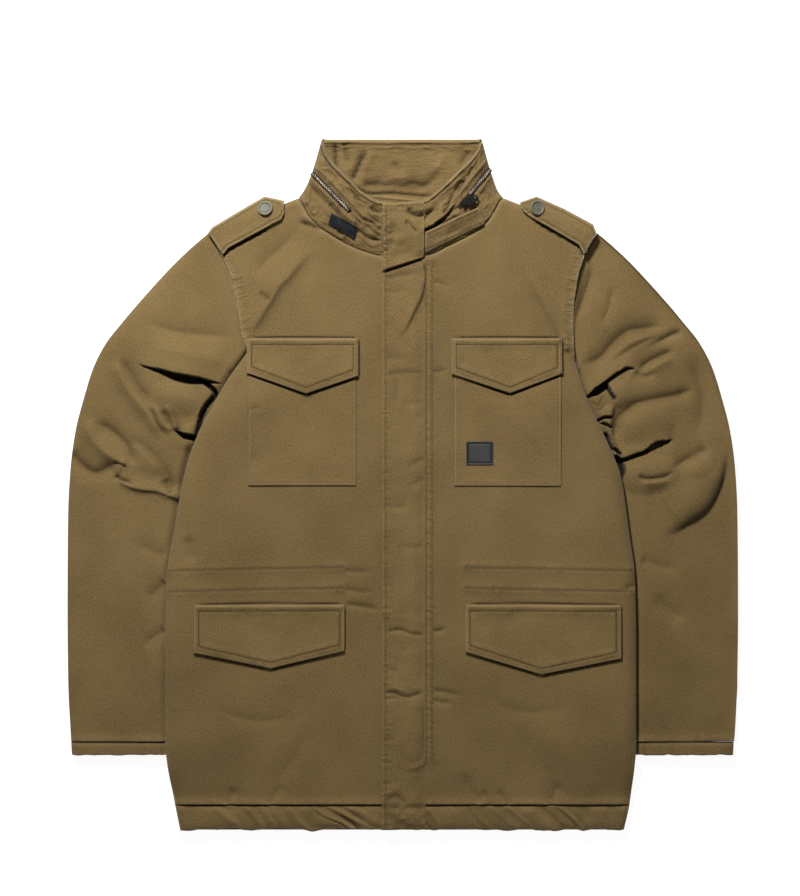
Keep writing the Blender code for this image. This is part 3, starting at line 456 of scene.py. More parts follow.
# Folds of the left sleeve
LEFT_SLEEVE_FOLDS = (
    Fold(Crease.TROUGH, 6.32, 5.6, ((237, 278), (234, 256), (228, 238), (222, 218), (218, 203)), 0.3,
        0.3, shade=0.15),
    Fold(Crease.TROUGH, 8.05, 3.5, ((264, 251), (260, 226), (254, 210), (246, 197)), 0.3, 0.3),
    Fold(Crease.TROUGH, 11.5, 8.05, ((332, 199), (317, 198), (303, 195), (285, 193), (272, 185), (260,
        173), (250, 161), (236, 153), (221, 155)), 0.2, 0.2, shade=0.2),
    Fold(Crease.RIDGE, 5.17, 2.8, ((327, 192), (303, 184), (283, 176), (266, 163), (251, 148)), 0.3,
        0.3),
    Fold(Crease.TROUGH, 5.17, 5.95, ((351, 191), (341, 189), (329, 183), (317, 177), (304, 171)),
        0.15, 0.5, shade=0.3),
    Fold(Crease.TROUGH, 2.76, 1.4, ((323, 186), (302, 178), (282, 167), (264, 153)), 0.3, 0.3),
    Fold(Crease.TROUGH, 6.32, 6.65, ((342, 169), (323, 161), (311, 155), (301, 148), (297, 139)),
        0.25, 0.2, shade=0.25),
    Fold(Crease.RIDGE, 6.9, 3.85, ((342, 158), (324, 152), (312, 144), (303, 136)), 0.3, 0.3),
    Fold(Crease.SLIT, 13, 4.2, ((226, 106), (234, 114), (243, 122), (254, 130), (263, 137), (271,
        142), (278, 146), (284, 146), (293, 143)), 0.12, 0.22, mouth=4.2),
    Fold(Crease.CLEFT, 4, 1.0, ((229, 109), (239, 114), (251, 122), (256, 126)), 0.5, 0.15,
        mouth=10),
    Fold(Crease.CLEFT, 3, 1.0, ((252, 129), (256, 121), (261, 112), (267, 104)), 0.1, 0.2, mouth=4),
    Fold(Crease.TROUGH, 5.75, 3.5, ((289, 142), (298, 136), (307, 136), (319, 142)), 0.2, 0.4,
        shade=0.2),
    Fold(Crease.TROUGH, 9.2, 8.05, ((367, 121), (360, 118), (344, 112), (323, 108), (307, 105), (291,
        100), (280, 92), (270, 83), (266, 69), (266, 51)), 0.15, 0.15, shade=0.25),
    Bulge(300, 76, 44, 28, 0.1, 6.9),
    Bulge(268, 113, 26, 18, -0.4, 3.6),
    Fold(Crease.CLEFT, 4, 0.6, ((243, 79), (248, 82), (254, 84), (262, 83)), 0.1, 0.1, mouth=3.6),
    Fold(Crease.CLEFT, 3, 0.6, ((247, 77), (256, 74), (262, 69)), 0.2, 0.2, mouth=2.6),
    Fold(Crease.TROUGH, 3, 1.8, ((234, 107), (244, 98), (248, 106), (254, 111)), 0.3, 0.3,
        shade=0.4),
    Fold(Crease.TROUGH, 2.6, 1.6, ((241, 94), (247, 94), (252, 103)), 0.3, 0.3, shade=0.5),
    Fold(Crease.CLEFT, 4, 0.6, ((251, 67), (255, 60), (259, 49), (262, 41)), 0.3, 0.1, mouth=5),
    Fold(Crease.CLEFT, 3, 0.6, ((263, 47), (268, 41), (274, 36)), 0.3, 0.3, mouth=3.6),
    Fold(Crease.PLEAT, 6.9, 4.55, ((268, 41), (262, 56), (260, 71), (261, 89), (264, 104)), 0.2, 0.2,
        mouth=5, shade=0.3),
    Fold(Crease.SLIT, 11, 4.0, ((261, 34), (276, 33), (281, 35), (295, 40), (307, 45), (319, 52),
        (329, 55), (339, 56)), 0.04, 0.14, mouth=4.6),
    Fold(Crease.CLEFT, 4, 1.0, ((297, 39), (308, 44), (319, 50), (334, 54)), 0.5, 0.3, mouth=7.5),
    Fold(Crease.CLEFT, 4, 0.8, ((262, 36), (269, 28), (273, 18), (274, 3)), 0.1, 0.4, mouth=10),
    Bulge(308, 12, 42, 26, 0.15, 6.9),
    Fold(Crease.TROUGH, 3.68, 4.55, ((293, 13), (298, 9), (306, 7), (323, 9), (332, 12), (344, 20)),
        0.15, 0.4, shade=0.45),
    Fold(Crease.RIDGE, 5.75, 2.8, ((297, 3), (316, 2), (334, 6)), 0.3, 0.3),
    Fold(Crease.TROUGH, 8.05, 5.95, ((383, 44), (372, 40), (364, 35), (350, 28), (332, 17)), 0.12, 0.35,
        shade=0.2),
    Bulge(372, 26, 24, 18, 0.6, 3.9),
    Fold(Crease.TROUGH, 18.4, 5.95, ((357, 166), (369, 141), (376, 112), (374, 83), (364, 56)), 0.3,
        0.3, shade=0.1),
    Fold(Crease.BANK, 18, 11, ((316, -66), (331, -63), (345, -58), (357, -50.5), (370, -43),
        (381, -34), (390, -22), (397, -8), (402, 6), (405, 20), (407, 35), (409, 48)), 0.35, 0.3,
        shade=0.5),
    Fold(Crease.TROUGH, 10.3, 3.15, ((312, -137), (334, -157), (354, -174)), 0.3, 0.3),
    Fold(Crease.TROUGH, 9.2, 2.1, ((297, -94), (322, -102), (352, -107)), 0.1, 0.4),
)
# Folds of the fronts
FRONT_FOLDS = (
    Fold(Crease.PLEAT, 15, 4.76, ((-197, 184), (-184, 197), (-163, 231), (-154, 246),
        (-140, 261), (-121, 284), (-110, 291), (-103, 293)), 0.2, 0.3, mouth=9, sink=0.45,
        shade=0.06),
    Fold(Crease.TROUGH, 12, 4.42, ((-128, 323), (-148, 298), (-171, 278), (-188, 253)), 0.3, 0.3),
    Fold(Crease.TROUGH, 6, 4.08, ((-181, 241), (-171, 234), (-163, 229)), 0.4, 0.3, shade=0.3),
    Fold(Crease.TROUGH, 3.6, 5.1, ((-133, 329), (-121, 325), (-109, 321), (-94, 317)), 0.3, 0.4,
        shade=0.45),
    Fold(Crease.RIDGE, 7, 3.06, ((-129, 336), (-113, 329), (-96, 323)), 0.3, 0.4),
    Fold(Crease.PLEAT, 16, 4.42, ((139, 291), (152, 271), (166, 243), (189, 201), (200, 178),
        (208, 161)), 0.5, 0.1, mouth=10, sink=0.45, shade=0.05),
    Fold(Crease.TROUGH, 4, 2.72, ((-73, -149), (-56, -151), (-38, -154), (-26, -156)), 0.2, 0.3,
        shade=0.25),
    Fold(Crease.TROUGH, 7, 3.06, ((-268, -62), (-264, -82), (-261, -99)), 0.3, 0.3),
    Fold(Crease.TROUGH, 4, 3.06, ((294, -124), (283, -127), (272, -132)), 0.1, 0.4, shade=0.4),
    Fold(Crease.TROUGH, 3.2, 2.72, ((38, -183), (47, -182), (57, -178)), 0.1, 0.5, shade=0.35),
    Fold(Crease.TROUGH, 3.2, 2.38, ((38, -258), (49, -258), (62, -261), (79, -264)), 0.1, 0.5,
        shade=0.3),
    Fold(Crease.TROUGH, 3.2, 2.38, ((38, -268), (49, -272), (66, -273)), 0.1, 0.5, shade=0.15),
    Fold(Crease.TROUGH, 3, 1.7, ((38, 141), (47, 141), (59, 146)), 0.1, 0.5, shade=0.2),
    Fold(Crease.TROUGH, 3, 1.7, ((38, 254), (49, 251), (62, 246)), 0.1, 0.5, shade=0.2),
    Fold(Crease.TROUGH, 4, 2.04, ((-73, -107), (-56, -109), (-33, -108)), 0.1, 0.5, shade=0.1),
    Fold(Crease.TROUGH, 4, 2.04, ((-73, -129), (-53, -134), (-31, -132)), 0.1, 0.5, shade=0.15),
    Fold(Crease.TROUGH, 10, 2.04, ((-253, -269), (-191, -294), (-116, -289)), 0.4, 0.4),
    Fold(Crease.TROUGH, 9, 1.7, ((97, -257), (147, -284), (222, -277)), 0.4, 0.4),
    Fold(Crease.TROUGH, 9, 3.4, ((77, -357), (84, -379), (99, -398)), 0.4, 0.1),
    Fold(Crease.TROUGH, 4, 2.2, ((101, -379), (105, -389), (110, -401)), 0.4, 0.1, shade=0.1),
    Fold(Crease.TROUGH, 4, 2.4, ((119, -378), (125, -389), (134, -400)), 0.4, 0.1, shade=0.1),
    Fold(Crease.RIDGE, 15, 2.4, ((168, -288), (203, -335), (246, -390)), 0.35, 0.2),
    Fold(Crease.TROUGH, 15, 2.4, ((138, -296), (168, -342), (203, -394)), 0.35, 0.2),
    Fold(Crease.TROUGH, 14, 2.2, ((-112, -290), (-132, -338), (-172, -388)), 0.35, 0.3),
    Fold(Crease.TROUGH, 8, 3.06, ((-209, -376), (-213, -388), (-218, -401)), 0.4, 0.1),
    Fold(Crease.TROUGH, 8, 2.72, ((-146, -372), (-158, -387), (-166, -401)), 0.4, 0.1),
    Fold(Crease.TROUGH, 9, 2.72, ((197, -369), (191, -386), (182, -401)), 0.4, 0.1),
)
# Folds of the storm fly
FLY_FOLDS = (
    Fold(Crease.CLEFT, 3, 0, ((-25, 265), (0, 273), (28, 282)), 0.02, 0.1, mouth=3.2, depth=2),
    Fold(Crease.PLEAT, 9, 2.25, ((-7, 182), (3, 194), (11, 209), (15, 218), (23, 234), (27, 249),
        (28, 262), (25, 278)), 0.35, 0.05, mouth=4, sink=0.8, shade=0.45),
    Fold(Crease.TROUGH, 4.5, 1.8, ((-23, 253), (-14, 258), (-1, 261), (22, 264)), 0.2, 0.3,
        shade=0.2),
    Fold(Crease.TROUGH, 5, 1.35, ((-23, 236), (-11, 239), (9, 242)), 0.2, 0.4),
    Fold(Crease.TROUGH, 4, 1.35, ((-21, 137), (-3, 139), (14, 140), (29, 139)), 0.2, 0.3, shade=0.2),
    Fold(Crease.TROUGH, 5, 1.2, ((-23, 161), (-6, 156), (12, 158)), 0.3, 0.4),
    Fold(Crease.TROUGH, 3.5, 1.35, ((-13, 138), (-8, 126), (-8, 108), (-12, 93)), 0.3, 0.4,
        shade=0.15),
    Fold(Crease.TROUGH, 5, 1.35, ((27, 103), (12, 101), (-1, 98)), 0.1, 0.5, shade=0.15),
    Fold(Crease.TROUGH, 5, 1.5, ((27, 33), (16, 27), (2, 18)), 0.1, 0.5, shade=0.2),
    Fold(Crease.TROUGH, 5, 1.5, ((27, 8), (14, 1), (2, -4)), 0.1, 0.5, shade=0.15),
    Fold(Crease.TROUGH, 5, 1.2, ((-23, -26), (-6, -29), (12, -26)), 0.3, 0.4),
    Fold(Crease.TROUGH, 5, 1.2, ((27, -76), (12, -79), (-6, -77)), 0.1, 0.4),
    Fold(Crease.TROUGH, 2.8, 2.25, ((-23, -184), (-3, -181), (9, -185), (29, -188)), 0.15, 0.15,
        shade=0.4),
    Fold(Crease.TROUGH, 2.6, 1.2, ((-23, -229), (-11, -231), (-1, -237)), 0.15, 0.4, shade=0.2),
    Fold(Crease.TROUGH, 3, 2.7, ((-24, -259), (-13, -259), (-6, -261), (4, -265), (13, -263), (27,
        -259)), 0.15, 0.2, shade=0.5),
    Fold(Crease.TROUGH, 2.6, 1.8, ((-23, -267), (-8, -266), (2, -269)), 0.2, 0.4, shade=0.2),
    Fold(Crease.RIDGE, 3.5, 1.35, ((-21, -253), (-6, -255), (7, -259)), 0.2, 0.3),
    Fold(Crease.TROUGH, 4, 1.2, ((-23, -317), (-6, -318)), 0.1, 0.6, shade=0.15),
    Fold(Crease.PLEAT, 5, 1.95, ((31, -341), (23, -348), (12, -352), (-3, -354)), 0.1, 0.5, mouth=3,
        sink=0.8, shade=0.5),
    Fold(Crease.TROUGH, 2.6, 1.2, ((26, -269), (27, -307), (27, -339)), 0.3, 0.05, shade=0.4),
    Bulge(-12, -383, 12, 11, 0.4, 2.21),
    Fold(Crease.TROUGH, 4, 2.1, ((-19, -393), (-8, -388), (-1, -393), (7, -398)), 0.2, 0.3,
        shade=0.3),
)
# Folds of the collar's wings, and of its inner back
WING_FOLDS = (
    Fold(Crease.TROUGH, 3.2, 4.5, ((-117, 392), (-103, 379), (-84, 359), (-66, 341), (-63, 337)),
        0.03, 0.03, shade=0.45),
    Fold(Crease.RIDGE, 2.2, 3, ((-121, 388), (-104, 369), (-86, 351), (-69, 332), (-52, 322)),
        0.03, 0.15),
    Fold(Crease.RIDGE, 2.2, 3, ((-113, 398), (-98, 386), (-81, 368), (-63, 349), (-49, 333)),
        0.03, 0.1),
    Fold(Crease.TROUGH, 2, 3.4, ((-124, 383), (-108, 365), (-89, 346), (-73, 328), (-62, 320)),
        0.03, 0.1, shade=0.35),
    Fold(Crease.TROUGH, 1.8, 3, ((-64, 337), (-57, 331), (-50, 322)), 0.2, 0.2, shade=0.5),
    Fold(Crease.TROUGH, 1.8, 2.6, ((-60, 341), (-52, 333), (-46, 327)), 0.2, 0.2, shade=0.4),
    Fold(Crease.TROUGH, 2.4, 5.2, ((-57, 320), (-48.5, 311.4), (-40.4, 306.5), (-26, 304.5)),
        0.15, 0.1, shade=0.55),
    Fold(Crease.TROUGH, 2.2, 4.6, ((-52, 331), (-43, 328), (-34, 324), (-26, 315)), 0.2, 0.1,
        shade=0.5),
    Fold(Crease.TROUGH, 2.2, 4.2, ((-46, 325), (-37, 316), (-26, 308)), 0.2, 0.1, shade=0.45),
    Fold(Crease.TROUGH, 2.2, 4.2, ((-45.5, 339), (-36, 331), (-27, 325)), 0.2, 0.1, shade=0.45),
    Fold(Crease.TROUGH, 2.4, 3.8, ((-42, 346), (-35.6, 341), (-26, 339)), 0.25, 0.1, shade=0.4),
    Fold(Crease.TROUGH, 4, 3.2, ((-66, 366), (-58, 355), (-51, 345), (-47, 335)), 0.3, 0.3,
        shade=0.1),
    Bulge(-44, 332, 12, 9, 0.3, 2.6),
    Bulge(-37, 312, 9, 6, -0.4, 2.4),
    Fold(Crease.TROUGH, 3.2, 4.5, ((112, 399), (102, 386), (89, 366), (82, 357)), 0.03, 0.1,
        shade=0.45),
    Fold(Crease.RIDGE, 2.2, 3, ((106, 405), (92, 388), (76, 368), (63, 351)), 0.03, 0.1),
    Fold(Crease.RIDGE, 2.2, 3, ((116, 393), (106, 378), (96, 363)), 0.03, 0.1),
    Fold(Crease.SLIT, 8, 3.2, ((21, 314), (27, 318.5), (37.6, 322.8), (43, 327.5), (50.6, 332.6),
        (57, 339), (65.4, 348.9), (72, 355.4)), 0.08, 0.6, mouth=5, depth=5),
    Fold(Crease.TROUGH, 2.4, 5, ((64, 366), (60.5, 355.5), (55.6, 344), (50, 334)), 0.25, 0.2,
        shade=0.5),
    Fold(Crease.TROUGH, 2.4, 4.6, ((80, 384), (73.5, 372), (66, 362)), 0.2, 0.3, shade=0.5),
    Fold(Crease.TROUGH, 2.2, 3.8, ((75, 380), (69, 371), (63, 361)), 0.2, 0.3, shade=0.35),
    Fold(Crease.TROUGH, 3, 6, ((8, 341), (12, 336), (20, 333.5), (31, 337), (43, 345)), 0.15, 0.3,
        shade=0.45),
    Bulge(34, 345, 16, 9, 0.5, 3.8),
    Fold(Crease.TROUGH, 2.4, 3.6, ((57, 332), (61, 340), (68, 345), (76, 346)), 0.2, 0.3,
        shade=0.45),
    Fold(Crease.TROUGH, 2.4, 3.2, ((46, 321), (58, 329), (73, 337)), 0.2, 0.3, shade=0.35),
    Fold(Crease.TROUGH, 2.2, 3.4, ((88, 397), (84, 388), (78, 380)), 0.2, 0.3, shade=0.3),
)
LINING_FOLDS = (
    Fold(Crease.TROUGH, 2.8, 6.5, ((-85, 427), (-83.5, 416), (-83, 401), (-78, 389)), 0.1, 0.4,
        shade=0.55),
    Fold(Crease.TROUGH, 3.3, 4.4, ((-73, 428), (-71, 418), (-69, 408), (-64, 396)), 0.1, 0.4,
        shade=0.3),
    Fold(Crease.TROUGH, 4.2, 8, ((-44, 418), (-51, 407), (-57, 393), (-64, 379)), 0.3, 0.15,
        shade=0.6),
    Fold(Crease.RIDGE, 6.05, 3.2, ((-36, 421), (-42, 406), (-49, 391)), 0.3, 0.3),
    Fold(Crease.TROUGH, 5.5, 3.6, ((-11, 406), (-7, 397), (1, 391)), 0.4, 0.4, shade=0.15),
    Fold(Crease.TROUGH, 6.6, 4, ((-51, 378), (-38, 376), (-23, 379)), 0.3, 0.3, shade=0.3),
    Fold(Crease.TROUGH, 6.6, 4.4, ((-3, 372), (12, 377), (27, 374), (39, 383), (47, 396)), 0.3, 0.3,
        shade=0.3),
    Fold(Crease.RIDGE, 7.7, 3.2, ((-23, 386), (-3, 383), (17, 386)), 0.4, 0.4),
    Fold(Crease.TROUGH, 5.5, 4, ((84, 418), (78, 408), (69, 396)), 0.2, 0.4, shade=0.35),
    Fold(Crease.RIDGE, 6.6, 2.8, ((54, 418), (47, 401), (34, 388)), 0.4, 0.4),
    Fold(Crease.TROUGH, 3, 4.5, ((-62, 375), (-48.5, 366), (-35.6, 364), (-14, 364.5), (7, 363),
        (27, 361.5), (42, 363)), 0.12, 0.15, shade=0.7),
    Fold(Crease.TROUGH, 8, 4, ((-56, 379), (-38, 373), (-14, 374), (14, 371), (40, 376)), 0.2, 0.2,
        shade=0.2),
)
COLLAR_FLY_FOLDS = (
    Fold(Crease.TROUGH, 2.4, 4.2, ((3.5, 330), (9, 322), (14, 317), (20, 313.5)), 0.25, 0.25,
        shade=0.5),
    Fold(Crease.TROUGH, 2.8, 4.8, ((7, 346), (10, 338), (19, 334), (27.5, 336)), 0.25, 0.05,
        shade=0.5),
    Fold(Crease.RIDGE, 4, 2, ((12, 345), (18, 341), (27, 343)), 0.3, 0.05),
    *(Fold(Crease.TROUGH, 1.8, 1.4, ((-25.5, y), (-18.5, y - 2.5)), 0.05, 0.5, shade=0.25)
      for y in (341, 334, 325.5, 317, 309.5, 300, 292, 283, 276)),
    Fold(Crease.TROUGH, 5, 1.5, ((-18, 306), (-6, 298), (9, 301)), 0.3, 0.4, shade=0.1),
    Fold(Crease.TROUGH, 5, 1.5, ((-16, 328), (-8, 318), (-6, 306)), 0.3, 0.4, shade=0.1),
    Fold(Crease.TROUGH, 3, 1.35, ((-23, 316), (-16, 313), (-8, 316)), 0.1, 0.5, shade=0.2),
)


class BodyForm:
    """Outline and heights of the body, as the frame's solids have them."""

    swell = Unevenness(11)

    @staticmethod
    def edge(side: Side, y: Array) -> Array:
        """Half width at a height: the armhole seam, or the folded side below it."""
        y = np.asarray(y, float)
        arm = through([-row[0] for row in ARMHOLE], side.pick(ARMHOLE), -y)
        fold = through([-row[0] for row in BODY_SIDE], side.pick(BODY_SIDE), -y)
        return np.where(y >= ARMPIT_Y, arm, fold)

    @classmethod
    def inside(cls, x: Array, y: Array) -> Array:
        """Distance in from the body's own edge on the place's side."""
        width = np.where(x < 0, cls.edge(Side.RIGHT, y), cls.edge(Side.LEFT, y))
        return width - np.abs(x)

    @classmethod
    def lift(cls, x: Array, y: Array) -> Array:
        """Height of the underside, raised where the body lies on a sleeve."""
        across = 1 - ease((cls.inside(x, y) - LIFT_FLAT) / LIFT_FALL)
        return EDGE_LIFT * across * ease((175 - y) / 50) * ease((y + 392) / 45)

    @classmethod
    def crest(cls, x: Array, y: Array) -> Array:
        """Rise of the outer face over the sleeves, which the padding spreads far inwards."""
        across = 1 - ease((cls.inside(x, y) - 10) / 135)
        return EDGE_LIFT * across * ease((200 - y) / 110) * ease((y + 405) / 95)

    @staticmethod
    def shoulder(side: Side, x: Array) -> Array:
        """Height of the folded shoulder line above a place."""
        neck, tip = side.pick(NECK[:1])[0], side.pick(ARMHOLE[:1])[0]
        return mix(SHOULDER_Y, NECK[0][0], (tip - np.abs(x)) / (tip - neck))

    @classmethod
    def rounding(cls, side: Side, x: Array, y: Array, inside: Array) -> Array:
        """How full the cloth stands, from 0 on a folded edge to 1 away from it."""
        folded = ease((ARMPIT_Y - y) / 14)
        over = np.maximum(0, cls.shoulder(side, x) - y)
        return (1 - folded * (1 - quarter(inside))) * quarter(over)

    @classmethod
    def top(cls, x: Array, y: Array) -> Array:
        """Height of the fronts' outer face away from their edges, with its swells."""
        swell = 0.9 * cls.swell.cloudy(x / 70, y / 90) + 0.3 * cls.swell.at(x / 24 + 9, y / 30)
        return cls.crest(x, y) + BODY_HEIGHT + swell


def steps(total: float, pitch: float, fine: float, start: float, end: float,
          seams: tuple = ()) -> Array:
    """Distances along a length, closer together near its ends and at seams.

    Args:
        total: The length.
        pitch: Distance between places in its middle.
        fine: Distance between places near its ends.
        start: Reach of the finer start.
        end: Reach of the finer end.
        seams: Distances that get places of their own.

    Returns:
        The distances, from 0 to the length.
    """
    first = np.arange(0, start, fine)
    last = total - np.arange(0, end, fine)[::-1]
    low, high = start, total - end
    middle = np.linspace(low, high, max(2, int(np.ceil((high - low) / pitch)) + 1))
    places = np.unique(np.concatenate([first, middle, last]).round(4))
    for seam in seams:
        places = places[np.abs(places - seam) > 1.1]
        places = np.sort(np.concatenate([places, [seam - 0.8, seam, seam + 0.8]]))
    return places


def tuck(y: Array) -> Array:
    """How far a sleeve's inner edge lies under the body."""
    return TUCK * ease((140 - y) / 70)


class Graph:
    """Shader of one material, with its nodes added from Python expressions."""

    def __init__(self, name: str) -> None:
        """Start a material with its own principled shader."""
        self.material = bpy.data.materials.new(name)
        self.material.use_nodes = True
        self.tree = self.material.node_tree
        self.shader = self.tree.nodes["Principled BSDF"]

    def feed(self, socket: bpy.types.NodeSocket, value: object) -> None:
        """Link or set one input socket."""
        if isinstance(value, Value):
            self.tree.links.new(value.socket, socket)
        else:
            socket.default_value = value

    def add(self, kind: str, settings: dict | None = None, sockets: dict | None = None,
            output: int | str = 0) -> "Value":
        """Add one node.

        Args:
            kind: The node's type.
            settings: Its own settings. "stops" are a ramp's positions and colours.
            sockets: Values or links of its inputs, by name or number.
            output: The output that is returned.

        Returns:
            The node's output as a value.
        """
        node = self.tree.nodes.new(kind)
        for key, value in (settings or {}).items():
            if key == "stops":
                ramp = node.color_ramp.elements
                while len(ramp) < len(value):
                    ramp.new(0.5)
                for element, (position, colour) in zip(ramp, value):
                    element.position = position
                    element.color = (*colour, 1)
            else:
                setattr(node, key, value)
        for key, value in (sockets or {}).items():
            self.feed(node.inputs[key], value)
        return Value(self, node.outputs[output])

    def blend(self, start: object, end: object, share: object, mode: str = "MIX") -> "Value":
        """Mix two colours."""
        return self.add("ShaderNodeMix", {"data_type": "RGBA", "blend_type": mode},
                        {0: share, 6: start, 7: end}, 2)

    def dress(self, **sockets: object) -> bpy.types.Material:
        """Set the principled shader's inputs, whose names are written with underscores."""
        for key, value in sockets.items():
            self.feed(self.shader.inputs[key.replace("_", " ")], value)
        return self.material


class Value:
    """A shader socket that takes part in arithmetic."""

    def __init__(self, graph: Graph, socket: bpy.types.NodeSocket) -> None:
        """Wrap one output socket."""
        self.graph = graph
        self.socket = socket

    def maths(self, operation: str, first: object, second: object) -> "Value":
        """Add one Math node."""
        return self.graph.add("ShaderNodeMath", {"operation": operation}, {0: first, 1: second})

    def __add__(self, other: object) -> "Value":
        """Sum."""
        return self.maths("ADD", self, other)

    def __sub__(self, other: object) -> "Value":
        """Difference."""
        return self.maths("SUBTRACT", self, other)

    def __mul__(self, other: object) -> "Value":
        """Product."""
        return self.maths("MULTIPLY", self, other)

    def __rsub__(self, other: object) -> "Value":
        """Difference from a number."""
        return self.maths("SUBTRACT", other, self)

    __radd__ = __add__
    __rmul__ = __mul__


Colour = tuple[float, float, float]


def paint(colour: Colour) -> tuple[float, float, float, float]:
    """A colour with its alpha."""
    return (*colour, 1.0)


@dataclass(frozen=True)
class Canvas:
    """Twill cotton canvas, brushed and mottled, lighter along its seams and edges from wear and a
    painted highlight, and darkened with painted shade in its creases, gaps and seam grooves.
    """

    light: Colour = (0.272, 0.187, 0.0760)
    dark: Colour = (0.092, 0.056, 0.0190)
    # Lighter tone: faded wear along seams, and a painted highlight on rolled edges and lips
    faded_and_highlight: Colour = (0.345, 0.255, 0.130)
    # Near-black painted shade for slits, creases, gaps and seam grooves
    painted_shade: Colour = (0.004, 0.003, 0.002)

    def material(self) -> bpy.types.Material:
        """The canvas's material."""
        g = Graph("olive canvas")
        cut = g.add("ShaderNodeUVMap", {"uv_map": "cut"})
        place = g.add("ShaderNodeTexCoord", output="Object")
        worn, shade, pucker = (g.add("ShaderNodeAttribute", {"attribute_name": name}, output="Fac")
                               for name in ("worn", "shade", "pucker"))

        def noise(where: Value, scale: float, detail: float, rough: float = 0.5) -> Value:
            """One noise texture."""
            return g.add("ShaderNodeTexNoise", {}, {"Vector": where, "Scale": scale,
                                                    "Detail": detail, "Roughness": rough})

        def stretched(x: float, y: float, turn: float = 0.0) -> Value:
            """The cut's coordinates, squeezed and turned."""
            return g.add("ShaderNodeMapping", {}, {"Vector": cut, "Rotation": (0, 0, turn),
                                                   "Scale": (x, y, 1)})

        clouds = noise(place, 14, 3)
        flecks = noise(cut, 760, 3, 0.8)
        slubs = noise(stretched(1, 0.55), 640, 2)
        twill = g.add("ShaderNodeTexWave", {"wave_type": "BANDS", "bands_direction": "X"},
                      {"Vector": stretched(1, 1, 0.9), "Scale": 320, "Distortion": 1.5,
                       "Detail": 1, "Detail Scale": 2})
        mottle = 0.62 * flecks + 0.22 * slubs + 0.16 * clouds
        level = g.add("ShaderNodeMapRange", {}, {"Value": mottle, "From Min": 0.355,
                                                 "From Max": 0.645})
        cloth = g.blend(paint(self.dark), paint(self.light), level)
        # Wear and painted highlight along edges, then painted shade where the shade attribute is set
        cloth = g.blend(cloth, paint(self.faded_and_highlight), worn)
        cloth = g.blend(cloth, paint(self.painted_shade), 0.94 * shade)
        upright = pucker.maths("MAXIMUM", pucker, 0)
        lying = pucker.maths("MAXIMUM", 0 - pucker, 0)
        gathers = noise(stretched(60, 190), 1, 1) * upright
        gathers = gathers + noise(stretched(150, 70, 0.5), 1, 1) * lying
        height = 0.16 * twill + 0.2 * flecks + 0.55 * noise(cut, 42, 4, 0.6) + 5.5 * gathers
        bump = g.add("ShaderNodeBump", {}, {"Strength": 1.0, "Distance": 0.001,
                                            "Height": height})
        return g.dress(Base_Color=cloth, Roughness=0.86 + 0.1 * flecks, Normal=bump,
                       Sheen_Weight=0.08, Sheen_Roughness=0.5, Specular_IOR_Level=0.12)


@dataclass(frozen=True)
class Thread:
    """Polyester sewing thread, a little lighter than the cloth, darkened with painted shade where it
    dives into its holes.
    """

    colour: Colour = (0.400, 0.295, 0.135)
    painted_hole_shade: Colour = (0.020, 0.012, 0.004)

    def material(self) -> bpy.types.Material:
        """The thread's material."""
        g = Graph("sewing thread")
        place = g.add("ShaderNodeTexCoord", output="Object")
        strands = g.add("ShaderNodeTexNoise", {}, {"Vector": place, "Scale": 700})
        shade = g.add("ShaderNodeAttribute", {"attribute_name": "shade"}, output="Fac")
        colour = g.blend(paint(tuple(c * 0.6 for c in self.colour)), paint(self.colour), strands)
        # Painted shade of the needle holes, laid on by the stitch's shade attribute
        return g.dress(Base_Color=g.blend(colour, paint(self.painted_hole_shade), shade), Roughness=0.7,
                       Specular_IOR_Level=0.25)


@dataclass(frozen=True)
class PlainFinish:
    """A hard or dark finish with fine grain, uneven gloss and rubbed edges."""

    name: str
    colour: Colour
    accent: Colour
    roughness: float
    metallic: float = 0.0
    grain: float = 600.0
    bump: float = 0.0001
    rubbed: Colour | None = None
    gloss: float = 0.4

    def material(self) -> bpy.types.Material:
        """The finish's material."""
        g = Graph(self.name)
        place = g.add("ShaderNodeTexCoord", output="Object")
        fine = g.add("ShaderNodeTexNoise", {}, {"Vector": place, "Scale": self.grain, "Detail": 4})
        broad = g.add("ShaderNodeTexNoise", {}, {"Vector": place, "Scale": self.grain / 9})
        colour = g.blend(paint(self.colour), paint(self.accent), fine * broad * 2)
        if self.rubbed:
            worn = g.add("ShaderNodeAttribute", {"attribute_name": "worn"}, output="Fac")
            colour = g.blend(colour, paint(self.rubbed), worn)
        bump = g.add("ShaderNodeBump", {}, {"Strength": 0.6, "Distance": self.bump,
                                            "Height": fine})
        return g.dress(Base_Color=colour, Roughness=self.roughness + 0.15 * (broad - 0.5),
                       Metallic=self.metallic, Normal=bump, Specular_IOR_Level=self.gloss)


class Wardrobe:
    """The finishes, each made once."""

    def __init__(self) -> None:
        """Make every material."""
        self.canvas = Canvas().material()
        self.thread = Thread().material()
        self.hooks = PlainFinish("hook and loop", (0.0002, 0.0002, 0.0002), (0.036, 0.037, 0.042),
                                 0.95, 0.0, 330, 0.0012, gloss=0.04).material()
        self.hide = PlainFinish("dark hide", (0.006, 0.006, 0.007), (0.016, 0.016, 0.017),
                                0.45, 0.0, 900, 0.0002, (0.048, 0.048, 0.050)).material()
        self.tape = PlainFinish("zip tape", (0.012, 0.009, 0.006), (0.040, 0.029, 0.020),
                                0.9, 0.0, 1500, 0.0002, gloss=0.1).material()
        self.teeth = PlainFinish("antique teeth", (0.62, 0.53, 0.47), (0.25, 0.20, 0.17),
                                 0.42, 0.75, 700).material()
        self.enamel = PlainFinish("black enamel", (0.002, 0.002, 0.002), (0.006, 0.006, 0.006),
                                  0.38, 0.0, 500, gloss=0.35).material()
        self.horn = PlainFinish("grey button", (0.085, 0.083, 0.052), (0.165, 0.160, 0.112),
                                0.5, 0.0, 500).material()


